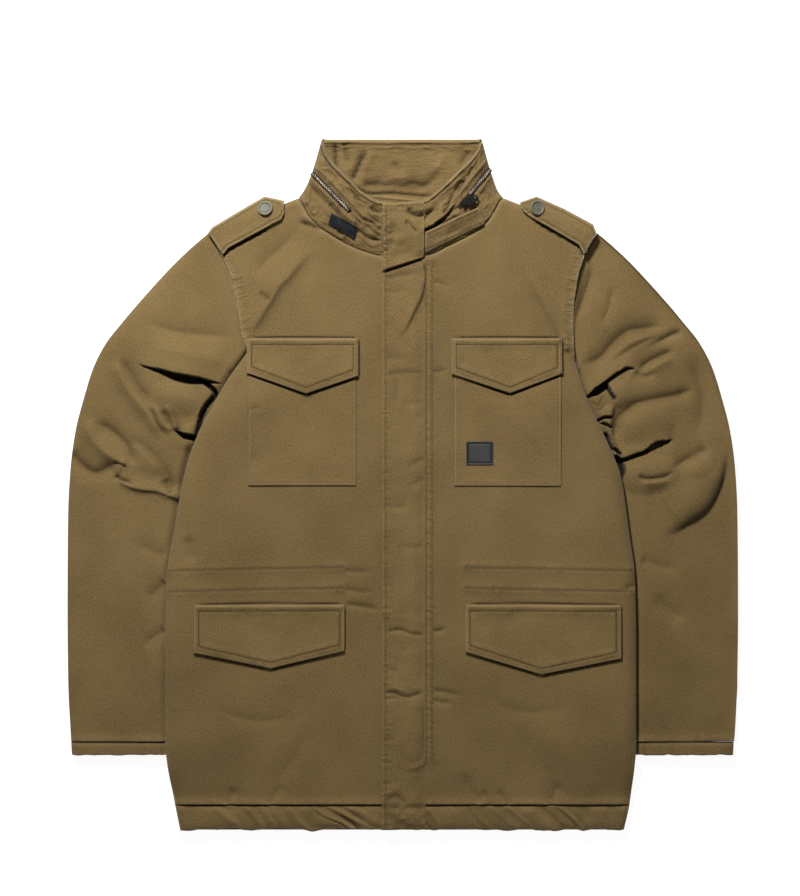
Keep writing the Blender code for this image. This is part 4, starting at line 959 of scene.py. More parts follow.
def active(name: str) -> bpy.types.Object:
    """Name the object that an operator has just made, and return it."""
    made = bpy.context.active_object
    made.name = name
    made.data.name = name
    return made


def only(obj: bpy.types.Object) -> None:
    """Select one object and make it active."""
    bpy.ops.object.select_all(action="DESELECT")
    obj.select_set(True)
    bpy.context.view_layer.objects.active = obj


@dataclass
class Cloth:
    """A sewn piece while it is shaped: its outer face as rows of places."""

    name: str
    places: Array
    facing: Facing = Facing.UP
    thickness: float = 1.6
    # Lighter tone per place, partly wear and partly painted highlight, then painted shade per place
    worn: Array | None = None
    shade: Array | None = None
    pucker: Array | None = None
    spare: float = 0.15

    def make(self, material: bpy.types.Material) -> bpy.types.Object:
        """Lay the cloth as a thin shell.

        Args:
            material: The cloth's material.

        Returns:
            The finished object, at the origin.
        """
        made = self.spread()
        mesh = made.data
        if self._inside_out(mesh):
            mesh.flip_normals()
        mesh.materials.append(material)
        only(made)
        self._thicken(made)
        bpy.ops.object.shade_smooth_by_angle(angle=math.radians(50))
        return made

    def spread(self) -> bpy.types.Object:
        """Spread the outer face as a grid, with its cut, its wear and painted highlight, its painted
        shade and its pucker.
        """
        rows, columns = self.places.shape[:2]
        bpy.ops.object.select_all(action="DESELECT")
        bpy.ops.mesh.primitive_grid_add(x_subdivisions=columns - 1, y_subdivisions=rows - 1,
                                        size=1, calc_uvs=True)
        made = active(self.name)
        mesh = made.data
        mesh.vertices.foreach_set("co", (self.places * MM).ravel())
        self._lay_out(mesh, rows, columns)
        for name, given in (("worn", self.worn), ("shade", self.shade),
                            ("pucker", self.pucker)):
            given = np.zeros((rows, columns)) if given is None else given
            given = np.broadcast_to(given, (rows, columns))
            attribute = mesh.attributes.new(name, "FLOAT", "POINT")
            attribute.data.foreach_set("value", np.clip(given, -1, 1).astype(np.float32).ravel())
        mesh.update()
        return made

    def _lay_out(self, mesh: bpy.types.Mesh, rows: int, columns: int) -> None:
        """Write the cut of the cloth, in metres, as its UV map."""
        tall = np.pad(self.places[:, :, 2], ((31, 30), (0, 0)), mode="edge").cumsum(0)
        smooth = np.dstack([self.places[:, :, :2], (tall[61:] - tall[:-61]) / 61])
        across = np.linalg.norm(np.diff(smooth, axis=1), axis=2).cumsum(1)
        down = np.linalg.norm(np.diff(smooth, axis=0), axis=2).cumsum(0)
        u = np.hstack([np.zeros((rows, 1)), across])
        v = np.vstack([np.zeros((1, columns)), down])
        u = u - u.mean(1, keepdims=True)
        cut = np.stack([u, -v], axis=2).reshape(-1, 2) * MM
        corners = np.empty(len(mesh.loops), np.int32)
        mesh.loops.foreach_get("vertex_index", corners)
        layer = mesh.uv_layers[0]
        layer.name = "cut"
        layer.data.foreach_set("uv", cut[corners].astype(np.float32).ravel())

    def _inside_out(self, mesh: bpy.types.Mesh) -> bool:
        """Whether the faces look the wrong way."""
        count = len(mesh.polygons)
        normal, centre = np.empty(count * 3, np.float32), np.empty(count * 3, np.float32)
        mesh.polygons.foreach_get("normal", normal)
        mesh.polygons.foreach_get("center", centre)
        normal, centre = normal.reshape(-1, 3), centre.reshape(-1, 3)
        if self.facing is Facing.OUT:
            return float(((centre - centre.mean(0)) * normal)[:, 2].sum()) < 0
        return float(normal[:, 2].sum()) * self.facing.value < 0

    def _thicken(self, made: bpy.types.Object) -> None:
        """Give the cloth its wall, and thin out the mesh of its hidden face."""
        hidden = made.vertex_groups.new(name="hidden")
        wall = made.modifiers.new("wall", "SOLIDIFY")
        wall.thickness = self.thickness * MM
        wall.offset = -1
        wall.shell_vertex_group = hidden.name
        bpy.ops.object.modifier_apply(modifier=wall.name)
        if self.spare < 1:
            thin = made.modifiers.new("thin", "DECIMATE")
            thin.ratio = (1 + self.spare) / 2
            thin.vertex_group = hidden.name
            bpy.ops.object.modifier_apply(modifier=thin.name)
        made.vertex_groups.clear()


def dress(obj: bpy.types.Object, node: str, body: str = "jacket") -> None:
    """Let a piece stand for a node of the frame, and move with its body."""
    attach(obj, body)
    if node:
        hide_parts(node)


def lay(obj: bpy.types.Object, places: Array) -> None:
    """State the cut of a piece of cloth, from its outer face's own sizes.

    Args:
        obj: The piece.
        places: Its outer face. A trimming under a centimetre wide has no cut to state.
    """
    across = np.linalg.norm(np.diff(places, axis=1), axis=2).sum(1)
    down = np.linalg.norm(np.diff(places, axis=0), axis=2).sum(0)
    width, length = float(across.max()) * MM, float(down.max()) * MM
    first = np.cross(places[1:, :-1] - places[:-1, :-1], places[:-1, 1:] - places[:-1, :-1])
    second = np.cross(places[1:, :-1] - places[1:, 1:], places[:-1, 1:] - places[1:, 1:])
    area = float(np.linalg.norm(first, axis=2).sum() + np.linalg.norm(second, axis=2).sum()) / 2
    area = min(area * MM * MM, width * length)
    if min(width, length) < 0.01:
        return
    LOG.info("%s: cut %.0f x %.0f mm, %.4f m2", obj.name, width / MM, length / MM, area)


def roll(distance: Array, depth: float, radius: float) -> Array:
    """Height lost where cloth rolls down into a seam."""
    return depth * (quarter(distance, radius) - 1)


@dataclass
class Fronts:
    """The two fronts, from the shoulders down to the hem seam."""

    canvas: bpy.types.Material
    pitch: float = 2.0
    thickness: float = 1.8
    seams: list = field(default_factory=list)
    cross_seams: tuple = (-107.0, -133.0)
    inner_seams: dict = field(default_factory=lambda: {Side.RIGHT: (), Side.LEFT: (41.1, 48.6)})

    def plan(self, side: Side) -> tuple[Array, Array, Array]:
        """Rows of places on a front, and how far each is in from the side."""
        outer_y = np.array([row[0] for row in FRONT_ROWS], float)
        inner_y = np.array([row[1] for row in FRONT_ROWS], float)
        neck = side.pick(NECK)
        inner_x = np.array(neck + [neck[-1]] * (len(FRONT_ROWS) - len(neck)))
        index = np.arange(len(FRONT_ROWS))
        travel = np.maximum(np.abs(np.diff(outer_y)), np.abs(np.diff(inner_y)))
        length = np.concatenate([[0], travel.cumsum()])
        crossing = tuple(np.interp(-y, -outer_y, length) for y in self.cross_seams)
        at = np.interp(steps(length[-1], self.pitch, 0.9, 12, 9, crossing), length, index)
        outer_y, inner_y, inner_x = (through(index, v, at)[:, None] for v in
                                     (outer_y, inner_y, inner_x))
        wide = BodyForm.edge(side, outer_y)
        near_side = np.array([0, 0.2, 0.6, 1.3, 2.2, 3.4, 4.8, 6.6, 8.2, 9.2, 10, 10.8, 12.2])
        seams = sorted((s + d for s in self.inner_seams[side] for d in (-0.8, 0, 0.8)),
                       reverse=True)
        near_inner = np.array([*seams, 8, 6, 4.4, 3, 1.8, 0.8, 0])
        count = int((283 - 20 - near_inner[0]) / self.pitch)
        middle = np.linspace(0, 1, count + 1)[1:-1]
        span = wide - inner_x
        parts = [np.repeat(near_side[None], len(at), 0),
                 near_side[-1] + (span - near_side[-1] - near_inner[0]) * middle]
        if seams:
            low, high = near_inner[len(seams) - 1], near_inner[len(seams)]
            gap = np.linspace(low, high, int((low - high) / self.pitch) + 1)[1:-1]
            near_inner = np.concatenate([near_inner[:len(seams)], gap, near_inner[len(seams):]])
            wide_gap = near_inner[2] - near_inner[3]
            near_inner = np.insert(near_inner, 3, near_inner[2] - wide_gap * np.array([1, 2]) / 3)
        inset = np.concatenate([*parts, span - near_inner], axis=1)
        return side.value * (wide - inset), mix(outer_y, inner_y, inset / span), inset

    def make(self, side: Side) -> bpy.types.Object:
        """Make one front.

        Args:
            side: The wearer's side.

        Returns:
            The finished cloth.
        """
        x, y, inset = self.plan(side)
        folded = ease((ARMPIT_Y - y) / 14)
        over = quarter(np.maximum(0, BodyForm.shoulder(side, x) - y))
        rounding = (1 - folded * (1 - quarter(inset, 17))) * over
        lift = BodyForm.lift(x, y)
        z = lift + HALF + SEAM / 2 + (BodyForm.top(x, y) - lift - HALF - SEAM / 2) * rounding
        armhole = np.array([(side.value * BodyForm.edge(side, v), v) for v in range(314, 160, -3)])
        neck = rounded([(side.value * row[1 + (side is Side.LEFT)], row[0]) for row in NECK])
        flat = x.ravel(), y.ravel()
        from_arm = np.abs(beside(armhole.astype(float), *flat)[0]).reshape(x.shape)
        from_neck = np.abs(beside(neck, *flat)[0]).reshape(x.shape)
        z += roll(from_arm, 0.9, 2.4) * ease((y - 150) / 20) * rounding
        z += roll(from_neck, 2.6, 4)
        hem = y - HEM_SEAM_Y
        z += roll(hem, 3.4, 2.6) * rounding
        z += 1.2 * np.exp(-((hem - 3) / 5) ** 2) * rounding
        # Painted shade in folds, seam grooves and the gaps under flaps and straps
        raised, shade, pucker = relief([*FRONT_FOLDS, *self.seams], x, y)
        pucker = pucker + 0.4 * np.exp(-(hem / 7) ** 2) * -1
        z += raised * rounding
        # Lighter bands along the armhole, neck, hem lip and inner edge: wear, and a painted highlight
        # on the lip
        worn = 0.35 * np.exp(-(from_arm / 4) ** 2) + 0.3 * np.exp(-(from_neck / 4) ** 2)
        worn += 0.75 * np.exp(-((hem - 1.4) / 1.3) ** 2) + 0.3 * np.exp(-(inset / 2) ** 2)
        places = np.stack([x, y, z], axis=2)
        made = Cloth(f"{side.label}_front_cloth", places, Facing.UP, self.thickness,
                     worn, shade, pucker).make(self.canvas)
        dress(made, f"front_{side.label}")
        lay(made, places)
        return made


@dataclass
class Back:
    """The back and its hem band, which lie on the surface."""

    canvas: bpy.types.Material
    pitch: float = 5.0
    swell: Unevenness = field(default_factory=lambda: Unevenness(23))

    def columns(self) -> Array:
        """Shares across the whole back, closer together at its folded sides."""
        half = 1 - steps(285, self.pitch, 1.4, 12, 0) / 285
        return np.concatenate([-half[:-1], [0], half[:-1][::-1]])

    def heights(self, x: Array, y: Array, inside: Array) -> Array:
        """Height of the back's outer face, which looks down."""
        left = BodyForm.rounding(Side.LEFT, x, y, inside)
        right = BodyForm.rounding(Side.RIGHT, x, y, inside)
        full = np.where(x < 0, right, left)
        lift = BodyForm.lift(x, y)
        wave = self.swell.cloudy(x / 60, y / 80)
        hollow = np.maximum(0, wave - 0.15) * 1.8 * ease((inside - 15) / 30)
        return lift + (HALF - SEAM / 2) * (1 - full) + hollow * ease(lift / 2 + 1)

    def neck_y(self, x: Array) -> Array:
        """Back neck seam."""
        neck = np.where(x < 0, NECK[0][1], NECK[0][2])
        return mix(BACK_NECK_Y, NECK[0][0], np.clip(np.abs(x) / neck, 0, 1) ** 2)

    def make_back(self) -> bpy.types.Object:
        """Make the back, down to its hem seam."""
        rows = np.array([row[0] for row in FRONT_ROWS], float)
        length = np.abs(rows - rows[0])
        base = -np.interp(steps(length[-1], self.pitch, 1.3, 12, 8), length, -rows)[:, None]
        share = self.columns()[None]
        wide = np.where(share < 0, BodyForm.edge(Side.RIGHT, base), BodyForm.edge(Side.LEFT, base))
        x = share * wide
        inside = wide - np.abs(x)
        tip = np.where(share < 0, ARMHOLE[0][1], ARMHOLE[0][2])
        at_top = share * tip
        neck = np.where(share < 0, NECK[0][1], NECK[0][2])
        over = np.where(share < 0, BodyForm.shoulder(Side.RIGHT, at_top),
                        BodyForm.shoulder(Side.LEFT, at_top))
        top = np.where(np.abs(at_top) >= neck, over, self.neck_y(at_top))
        y = base + (top - SHOULDER_Y) * ease((base - 8) / (SHOULDER_Y - 8))
        z = self.heights(x, y, inside)
        z += -roll(y - HEM_SEAM_Y, 3.5, 6) * (1 - ease(BodyForm.lift(x, y)))
        places = np.stack([x, y, z], axis=2)
        made = Cloth("back_cloth", places, Facing.DOWN, 1.8).make(self.canvas)
        dress(made, "back_panel")
        lay(made, places)
        return made

    def make_hem(self) -> bpy.types.Object:
        """Make the hem band under the back."""
        base = np.concatenate([-400.3 - np.array([0, 0.8, 2, 4, 7, 11, 16, 21, 25, 28, 30, 31.7])])
        base = base[:, None]
        share = self.columns()[None]
        wide = np.where(share < 0, BodyForm.edge(Side.RIGHT, base), BodyForm.edge(Side.LEFT, base))
        x = share * wide
        y = base + np.zeros_like(x)
        z = self.heights(x, y, wide - np.abs(x))
        turned = -roll(-400.3 - y, 3.0, 5) - roll(y - HEM_Y, HALF - 1.5, 8)
        z = np.minimum(z + turned, HALF - SEAM / 2)
        places = np.stack([x, y, z], axis=2)
        made = Cloth("back_hem_cloth", places, Facing.DOWN, 1.6).make(self.canvas)
        dress(made, "hem_back")
        lay(made, places)
        return made


@dataclass
class FrontHems:
    """Hem bands under the fronts, drawn in so that their lower edge scallops."""

    canvas: bpy.types.Material
    pitch: float = 1.7
    scallop: Unevenness = field(default_factory=lambda: Unevenness(41))

    def make(self, side: Side) -> bpy.types.Object:
        """Make one band."""
        depth = np.array([0, 0.4, 0.9, 1.6, 2.5, 3.6, 5, 6.6, 8.4, 10.4, 12.6, 14.8, 17, 19.2,
                          21.4, 23.5, 25.5, 27.2, 28.6, 29.8, 30.8, 31.4, 31.7])[:, None]
        base = HEM_SEAM_Y - SEAM - depth
        wide = BodyForm.edge(side, base)
        inner = NECK[-1][1 + (side is Side.LEFT)]
        share = steps(1, self.pitch / 290, 0.6 / 290, 10 / 290, 0)[None]
        x = side.value * (wide - share * (wide - inner))
        inside = np.abs(wide - np.abs(x))
        draw = self.scallop.at(x / 19) + 0.5 * self.scallop.at(x / 8, 4)
        y = base + (0.3 + 2.0 * draw) * ease(depth / 31.7) ** 2
        full = quarter(inside, 12)
        top = BodyForm.top(x, y) - BodyForm.crest(x, y)
        z = HALF + SEAM / 2 + (top - HALF - SEAM / 2) * full
        z += roll(depth, 5.0, 9) * full
        z += roll(31.9 - depth, 6.5, 11) * full
        lean = x - (0.8 + 0.9 * self.scallop.at(x / 70, 33)) * depth
        gather = 0.95 - np.abs(self.scallop.at(lean / 17, 8)) * 1.7
        gather -= np.abs(self.scallop.at(lean / 9, 15)) * 1.2
        drawn = 1.0 + 2.1 * np.maximum(0, self.scallop.at(x / 31, 27) + 0.2)
        z += (drawn * gather * ease(depth / 6) + 1.2 * draw * ease(depth / 12)) * full
        z = np.maximum(z, HALF + SEAM / 2)
        places = np.stack([x, y + 0 * x, z], axis=2)
        # Lighter lower edge from the wear and highlight tone, and painted shade in the seam under the
        # front's lip
        worn = 0.4 * np.exp(-((depth - 29.5) / 3) ** 2) + 0 * x
        thin = 1.1 + 0.5 * self.scallop.at(x / 30, 22)
        shade = 0.96 * np.exp(-(depth / thin) ** 4) + 0 * x
        made = Cloth(f"{side.label}_hem_cloth", places, Facing.UP, 1.6, worn,
                     shade).make(self.canvas)
        dress(made, f"hem_{side.label}")
        lay(made, places)
        return made


@dataclass
class Sleeves:
    """The sleeves, which bow out from the armholes and fold up behind the elbows."""

    canvas: bpy.types.Material
    across: float = 1.6
    swell: Unevenness = field(default_factory=lambda: Unevenness(57))

    def section(self, side: Side, at: Array, share: Array) -> tuple[Array, Array]:
        """Plan of places across the sleeve.

        Args:
            side: The wearer's side.
            at: Stations along the sleeve, which may be part of the way between two.
            share: Places across it, from its inner edge to its outer one.

        Returns:
            Their x and y.
        """
        index = np.arange(len(SLEEVE))
        out_x, out_y, in_y = (through(index, [row[k] for row in SLEEVE], at) for k in range(3))
        in_x = BodyForm.edge(side, in_y) + SEAM - tuck(in_y)
        x, y = mix(in_x, out_x, share), mix(in_y, out_y, share)
        seam_y = mix(ARMPIT_Y, SHOULDER_Y, share)
        chord = mix(BodyForm.edge(side, ARMPIT_Y), BodyForm.edge(side, SHOULDER_Y), share)
        bow = (BodyForm.edge(side, seam_y) - chord) * np.clip(1 - at / 3, 0, 1)
        return side.value * (x + bow), y

    def make(self, side: Side) -> bpy.types.Object:
        """Make one sleeve."""
        index = np.arange(len(SLEEVE))
        travel = [math.dist(a[:2], b[:2]) for a, b in zip(SLEEVE, SLEEVE[1:])]
        length = np.concatenate([[0], np.cumsum(travel)])
        bend = 390.0
        first = steps(bend, 1.6, 0.9, 9, 0)
        last = bend + steps(length[-1] - bend, 2.8, 0.7, 0, 9)[1:]
        at = np.interp(np.concatenate([first, last]), length, index)[:, None]
        in_x, in_y = self.section(side, at, 0.0)
        out_x, out_y = self.section(side, at, 1.0)
        width = np.hypot(out_x - in_x, out_y - in_y)
        ends = np.array([0, 0.35, 1.1, 2.3, 4, 6.2, 9])
        coarse = np.array([0, 3, 9])
        upper = np.linspace(0, 1, int(150 / self.across))[1:-1]
        lower = np.linspace(0, 1, 16)[1:-1]

        def spread(edges: Array, middle: Array) -> Array:
            """Places across the sleeve, closer together at its edges."""
            inner = edges[-1] + (width - 2 * edges[-1]) * middle
            fixed = np.repeat(edges[None], len(width), 0)
            return np.concatenate([fixed, inner, width - fixed[:, ::-1]], axis=1)

        below, above = spread(coarse, lower), spread(ends, upper)[:, ::-1]
        along = np.concatenate([below[:, :-1], above], axis=1)
        face = np.concatenate([-np.ones(below.shape[1] - 1), np.ones(above.shape[1])])[None]
        x, y = self.section(side, at, along / width)
        level = through(index, [row[3] for row in SLEEVE], at)
        section_y = through(index, [row[2] for row in SLEEVE], at)
        under = tuck(section_y)
        low = np.where(under > 0, np.minimum(TUCKED_HEIGHT, level), level)
        height = mix(low, level, ease((along - under + 9) / 18))
        outer = np.where(face > 0, 15.0, height / 2)
        full = quarter(along, height / 2) * quarter(width - along, outer)
        slit = np.where(np.arange(along.shape[1]) % (along.shape[1] - 1) == 0, SEAM / 2, 0)[None]
        z = height / 2 + face * np.maximum(height / 2 * full, slit)
        tilt = (0.25 if side is Side.RIGHT else 0.7) * (along / width) ** 1.5
        z -= np.where(face > 0, tilt * level * full, 0)
        clear = ease((along - under + 7) / 9) * full
        folds = RIGHT_SLEEVE_FOLDS if side is Side.RIGHT else LEFT_SLEEVE_FOLDS
        raised, shade, pucker = relief(list(folds), x, y)
        raised = raised + 1.1 * self.swell.cloudy(x / 45, y / 80)
        seam_off = np.interp(at, index, length) + 0 * x
        cuff_off = length[-1] - seam_off
        raised = raised * ease(seam_off / 12) + roll(seam_off, 1.1, 2.6) + roll(cuff_off, 3.4, 2.6)
        raised += 1.2 * np.exp(-((cuff_off - 3) / 5) ** 2)
        # Painted shade in the armhole seam beside the strap's end
        shade = np.maximum(shade, 0.9 * np.exp(-(seam_off / 1.3) ** 2) * ease((y - 280) / 8))
        draw = self.swell.at(x / 9, 3) * np.exp(-(cuff_off / 12) ** 2)
        raised += 0.6 * draw
        hollows = np.maximum(0, self.swell.cloudy(x / 35 + 50, y / 28)) * 2.5
        lifted = np.where(face > 0, raised * clear, hollows * full * ease(along / 25))
        ends_in = -roll(seam_off, 2.5, 6) - roll(cuff_off, 2.5, 6)
        z = z + lifted + np.where(face < 0, ends_in, 0) * full
        z = np.maximum(z, np.where(face > 0, 3.0, 0.0))
        places = np.stack([x, y, z], axis=2)
        # Wear at the armhole seam, and a painted highlight on the cuff seam's lip
        worn = 0.2 * np.exp(-(seam_off / 3) ** 2) + 0.75 * np.exp(-((cuff_off - 1.4) / 1.3) ** 2)
        pucker = pucker + 0.5 * np.exp(-(seam_off / 5) ** 2) - 0.3 * np.exp(-(cuff_off / 7) ** 2)
        made = Cloth(f"{side.label}_sleeve_cloth", places, Facing.OUT, 1.6, worn,
                     np.where(face > 0, shade, 0), pucker).make(self.canvas)
        dress(made, f"sleeve_{side.label}")
        lay(made, places)
        return made


@dataclass
class Cuffs:
    """Narrow bands at the sleeves' ends."""

    canvas: bpy.types.Material
    out_x: float = 414.5
    height: float = 17.0

    def make(self, side: Side) -> bpy.types.Object:
        """Make one cuff."""
        depth = np.array([0, 0.4, 0.9, 1.6, 2.6, 4.2, 6.2, 8.4, 10.6, 12.4, 13.8, 14.8, 15.5,
                          16])[:, None]
        y = CUFF_SEAM_Y - SEAM - depth
        in_x = BodyForm.edge(side, y) + SEAM - TUCK
        out_x = self.out_x - 0.045 * depth
        width = out_x - in_x
        ends = np.array([0, 0.4, 1.2, 2.6, 4.6, 7.5])
        fixed = np.repeat(ends[None], len(depth), 0)
        inner = ends[-1] + (width - 2 * ends[-1]) * np.linspace(0, 1, 84)[1:-1]
        over = np.concatenate([fixed, inner, width - fixed[:, ::-1]], axis=1)
        along = np.concatenate([over[:, :-1], over[:, ::-1]], axis=1)
        face = np.concatenate([-np.ones(over.shape[1] - 1), np.ones(over.shape[1])])[None]
        under = TUCK + 0 * depth
        level = mix(TUCKED_HEIGHT, self.height, ease((along - under + 9) / 18))
        thick = level * (1 - 0.35 * (1 - quarter(16.2 - depth, 7)) - 0.4 * (1 - quarter(depth, 5)))
        full = quarter(along, level / 2) * quarter(width - along, level / 2)
        x = side.value * (in_x + along)
        noise = Unevenness(71)
        wave = noise.at(x / 9, 3) + 0.5 * noise.at(x / 4, 8)
        z = level / 2 + face * thick / 2 * full + np.where(face > 0, 0.5 * wave * full, 0)
        z = np.maximum(z, 0)
        places = np.stack([x, y + (0.6 * wave * ease(depth / 16) ** 2), z], axis=2)
        # Lighter lower edge from the wear and highlight tone, and painted shade in the seam under the
        # sleeve's lip
        worn = 0.5 * np.exp(-((depth - 14.5) / 2.5) ** 2) + 0 * x
        thin = 1.0 + 0.4 * noise.at(x / 25, 5)
        shade = np.where(face > 0, 0.95 * np.exp(-(depth / thin) ** 4), 0)
        made = Cloth(f"{side.label}_cuff_cloth", places, Facing.OUT, 1.5, worn, shade,
                     spare=1.0).make(self.canvas)
        dress(made, f"cuff_{side.label}")
        lay(made, places)
        return made


@dataclass
class Collar:
    """Stand collar laid flat: two front wings folded over its back."""

    canvas: bpy.types.Material
    wall: float = 9.05

    def fold(self, side: Side, height: Array) -> tuple[Array, Array]:
        """The folded side's x and y at shares of the collar's height."""
        first = 1 if side is Side.RIGHT else 3
        keys = [row[0] for row in COLLAR_SIDE]
        x = through(keys, [row[first] for row in COLLAR_SIDE], height)
        return side.value * x, through(keys, [row[first + 1] for row in COLLAR_SIDE], height)

    def wing(self, side: Side, k: Array, height: Array) -> tuple[Array, Array]:
        """Plan of a wing: k counts the places of its neck seam from the folded side."""
        index = np.arange(len(NECK))
        first = 0 if side is Side.RIGHT else 2
        low_x = side.value * (through(index, side.pick(NECK), k) - SEAM * (k < 7.99))
        low_y = through(index, [row[0] for row in NECK], k) + SEAM
        high_x = side.value * through(index, [row[first] for row in WING_TOP], k)
        high_y = through(index, [row[first + 1] for row in WING_TOP], k)
        bow_x, bow_y = self.bow(side, height)
        share = ease(1 - k / 4)
        return (mix(low_x, high_x, height) + bow_x * share,
                mix(low_y, high_y, height) + bow_y * share)

    def bow(self, side: Side, height: Array) -> tuple[Array, Array]:
        """How far the folded side stands off its own chord."""
        x, y = self.fold(side, height)
        (x0, y0), (x1, y1) = self.fold(side, 0.0), self.fold(side, 1.0)
        return x - mix(x0, x1, height), y - mix(y0, y1, height)

    def back(self, side: Side, share: Array, height: Array) -> tuple[Array, Array]:
        """Plan of the collar's back, from its folded side (1) to its middle (0)."""
        foot_x, foot_y = self.fold(side, 0.0)
        top_x, top_y = self.fold(side, 1.0)
        low_y = mix(BACK_NECK_Y, foot_y, share ** 2) + SEAM
        bow_x, bow_y = self.bow(side, height)
        out = ease((share - 0.5) / 0.5)
        return (mix(foot_x * share, top_x * share, height) + bow_x * out,
                mix(low_y, top_y, height) + bow_y * out)

    def make(self) -> bpy.types.Object:
        """Make the collar, with its padding's full thickness."""
        height = steps(1, 0.0145, 0.006, 0.05, 0.07)[:, None]
        wing_k = np.linspace(8, 0, 118)
        back_share = np.concatenate([[0.985, 0.965, 0.94, 0.9, 0.86], np.linspace(0.82, 0, 44)])
        columns = []
        for side, order in ((Side.RIGHT, 1), (Side.LEFT, -1)):
            fold_x, fold_y = self.wing(side, 0.0, height)
            wing_x, wing_y = self.wing(side, wing_k[None], height)
            inside = np.hypot(wing_x - fold_x, wing_y - fold_y)
            parts = [(wing_x, wing_y, inside, wing_k[None] + 0 * height, 1.0)]
            back_x, back_y = self.back(side, back_share[None], height)
            inside = np.hypot(back_x - fold_x, back_y - fold_y)
            parts.append((back_x, back_y, inside, 0 * back_x, -1.0))
            block = [np.concatenate([np.broadcast_to(p[n], p[0].shape) for p in parts], axis=1)
                     for n in range(5)]
            if order < 0:
                block = [part[:, ::-1][:, 1:] for part in block]
            columns.append((side, block))
        x, y, inside, k, face = (np.concatenate([columns[0][1][n], columns[1][1][n]], axis=1)
                                 for n in range(5))
        side_of = np.concatenate([np.full(columns[0][1][0].shape, -1.0),
                                  np.full(columns[1][1][0].shape, 1.0)], axis=1)
        arch_share = through(np.arange(9), [row[4] for row in WING_TOP], k)
        rise = 1.08 * np.sin(np.pi * np.minimum(height, 0.75)) * np.minimum(1, height * 12)
        arch = np.where(face > 0, WING_ARCH * arch_share * rise, 0)
        edge = (1 - height) * np.hypot(40, 75) + 0 * x
        foot = height * 80 + 0 * x
        full = quarter(inside)
        bead = 4.6 * (1 - quarter(edge, 4.6))
        groove = np.exp(-((edge - 6.6) / 1.3) ** 2)
        noise = Unevenness(83)
        swell = 0.9 * noise.cloudy(x / 26, y / 24) * ease(inside / 12) * ease(edge / 12)
        swell += 1.5 * crinkled(noise, x, y, 11) * ease(inside / 12) * ease((edge - 4) / 6)
        raised, shade, pucker = relief(list(WING_FOLDS), x, y)
        outer_z = HALF + face * (HALF * full - bead) + arch
        wing_z = roll(foot, 2.6, 4) - 2.2 * groove + 1.3 * swell + raised * ease(foot / 6)
        outer_z += np.where(face > 0, wing_z, -roll(foot, 3.0, 5) * full)
        outer_z = np.where(face < 0, np.clip(outer_z, 0, HALF), outer_z)
        turn = self.wall * (1 - np.clip(inside / 30, 0, 1)) * mix(0.2, 1, ease(edge / 26))
        inner_x = x - side_of * turn
        soft = 1.2 * noise.cloudy(inner_x / 18 + 40, y / 26) - 1.3 * groove
        lining, dark, _ = relief(list(LINING_FOLDS), inner_x, y)
        creased = 0.9 * np.exp(-((edge - 6.6) / 6) ** 2) + 0.5 * np.exp(-(foot / 8) ** 2)
        inner_z = HALF + face * (0.2 * np.clip(inside / 5, 0, 1)) + arch
        inner_z += np.where(face > 0, bead, -bead + (soft + lining) * ease(inside / 14))
        # Painted shade in folds and the stitched groove on both faces, and wear and painted highlight
        # on the rolled edge
        outer_shade = np.where(face > 0, np.maximum(shade, 0.8 * groove), 0)
        inner_shade = np.where(face < 0, np.maximum(dark, 0.6 * groove), 0)
        worn = 0.3 * np.exp(-((edge - 1.5) / 2.5) ** 2)
        made = self._close(np.stack([x, y, outer_z], axis=2), np.stack([inner_x, y, inner_z], axis=2),
                           (worn, outer_shade, inner_shade), creased + 0.25)
        dress(made, "collar")
        lay(made, np.stack([x, y, outer_z], axis=2))
        return made

    def _close(self, outer: Array, inner: Array, tones: tuple,
               pucker: Array) -> bpy.types.Object:
        """Join the outer and the inner face into one closed piece.

        Args:
            outer: Rows of places on the outer face.
            inner: Rows of places on the inner face.
            tones: The wear and painted highlight, and the outer and the inner face's painted shade.
            pucker: How far the seams draw the cloth together.

        Returns:
            The finished collar.
        """
        def ring(first: Array, second: Array) -> Array:
            """Go up one face, down the other and back to the start."""
            return np.concatenate([first, second[::-1], first[:1]], axis=0)

        worn, outer_shade, inner_shade = tones
        sheet = Cloth("collar_cloth", ring(outer, inner), Facing.OUT, worn=ring(worn, worn),
                      shade=ring(outer_shade, inner_shade), pucker=ring(pucker, pucker))
        obj = sheet.spread()
        mesh = obj.data
        only(obj)
        bpy.ops.object.mode_set(mode="EDIT")
        bpy.ops.mesh.select_all(action="SELECT")
        bpy.ops.mesh.remove_doubles(threshold=1e-6)
        bpy.ops.mesh.select_all(action="DESELECT")
        bpy.ops.mesh.select_non_manifold()
        bpy.ops.mesh.fill_holes(sides=0)
        bpy.ops.mesh.select_all(action="SELECT")
        bpy.ops.mesh.normals_make_consistent(inside=False)
        bpy.ops.object.mode_set(mode="OBJECT")
        mesh.materials.append(self.canvas)
        bpy.ops.object.shade_smooth_by_angle(angle=math.radians(50))
        return obj


def heights_over(objects: list[bpy.types.Object], x: Array, y: Array, reach: float = 0.0) -> Array:
    """Highest point of finished pieces over places, in millimetres."""
    graph = bpy.context.evaluated_depsgraph_get()
    trees = [BVHTree.FromObject(obj, graph) for obj in objects]
    down = Vector((0, 0, -1))
    found = np.full(np.shape(x), -1.0)
    flat = found.ravel()
    offsets = [(0, 0)] if not reach else [(0, 0), (reach, 0), (-reach, 0), (0, reach), (0, -reach)]
    for n, (px, py) in enumerate(zip(np.ravel(x), np.ravel(y))):
        for dx, dy in offsets:
            start = Vector(((px + dx) * MM, (py + dy) * MM, 0.2))
            for tree in trees:
                hit = tree.ray_cast(start, down)[0]
                if hit and hit.z / MM > flat[n]:
                    flat[n] = hit.z / MM
    return flat.reshape(np.shape(x))


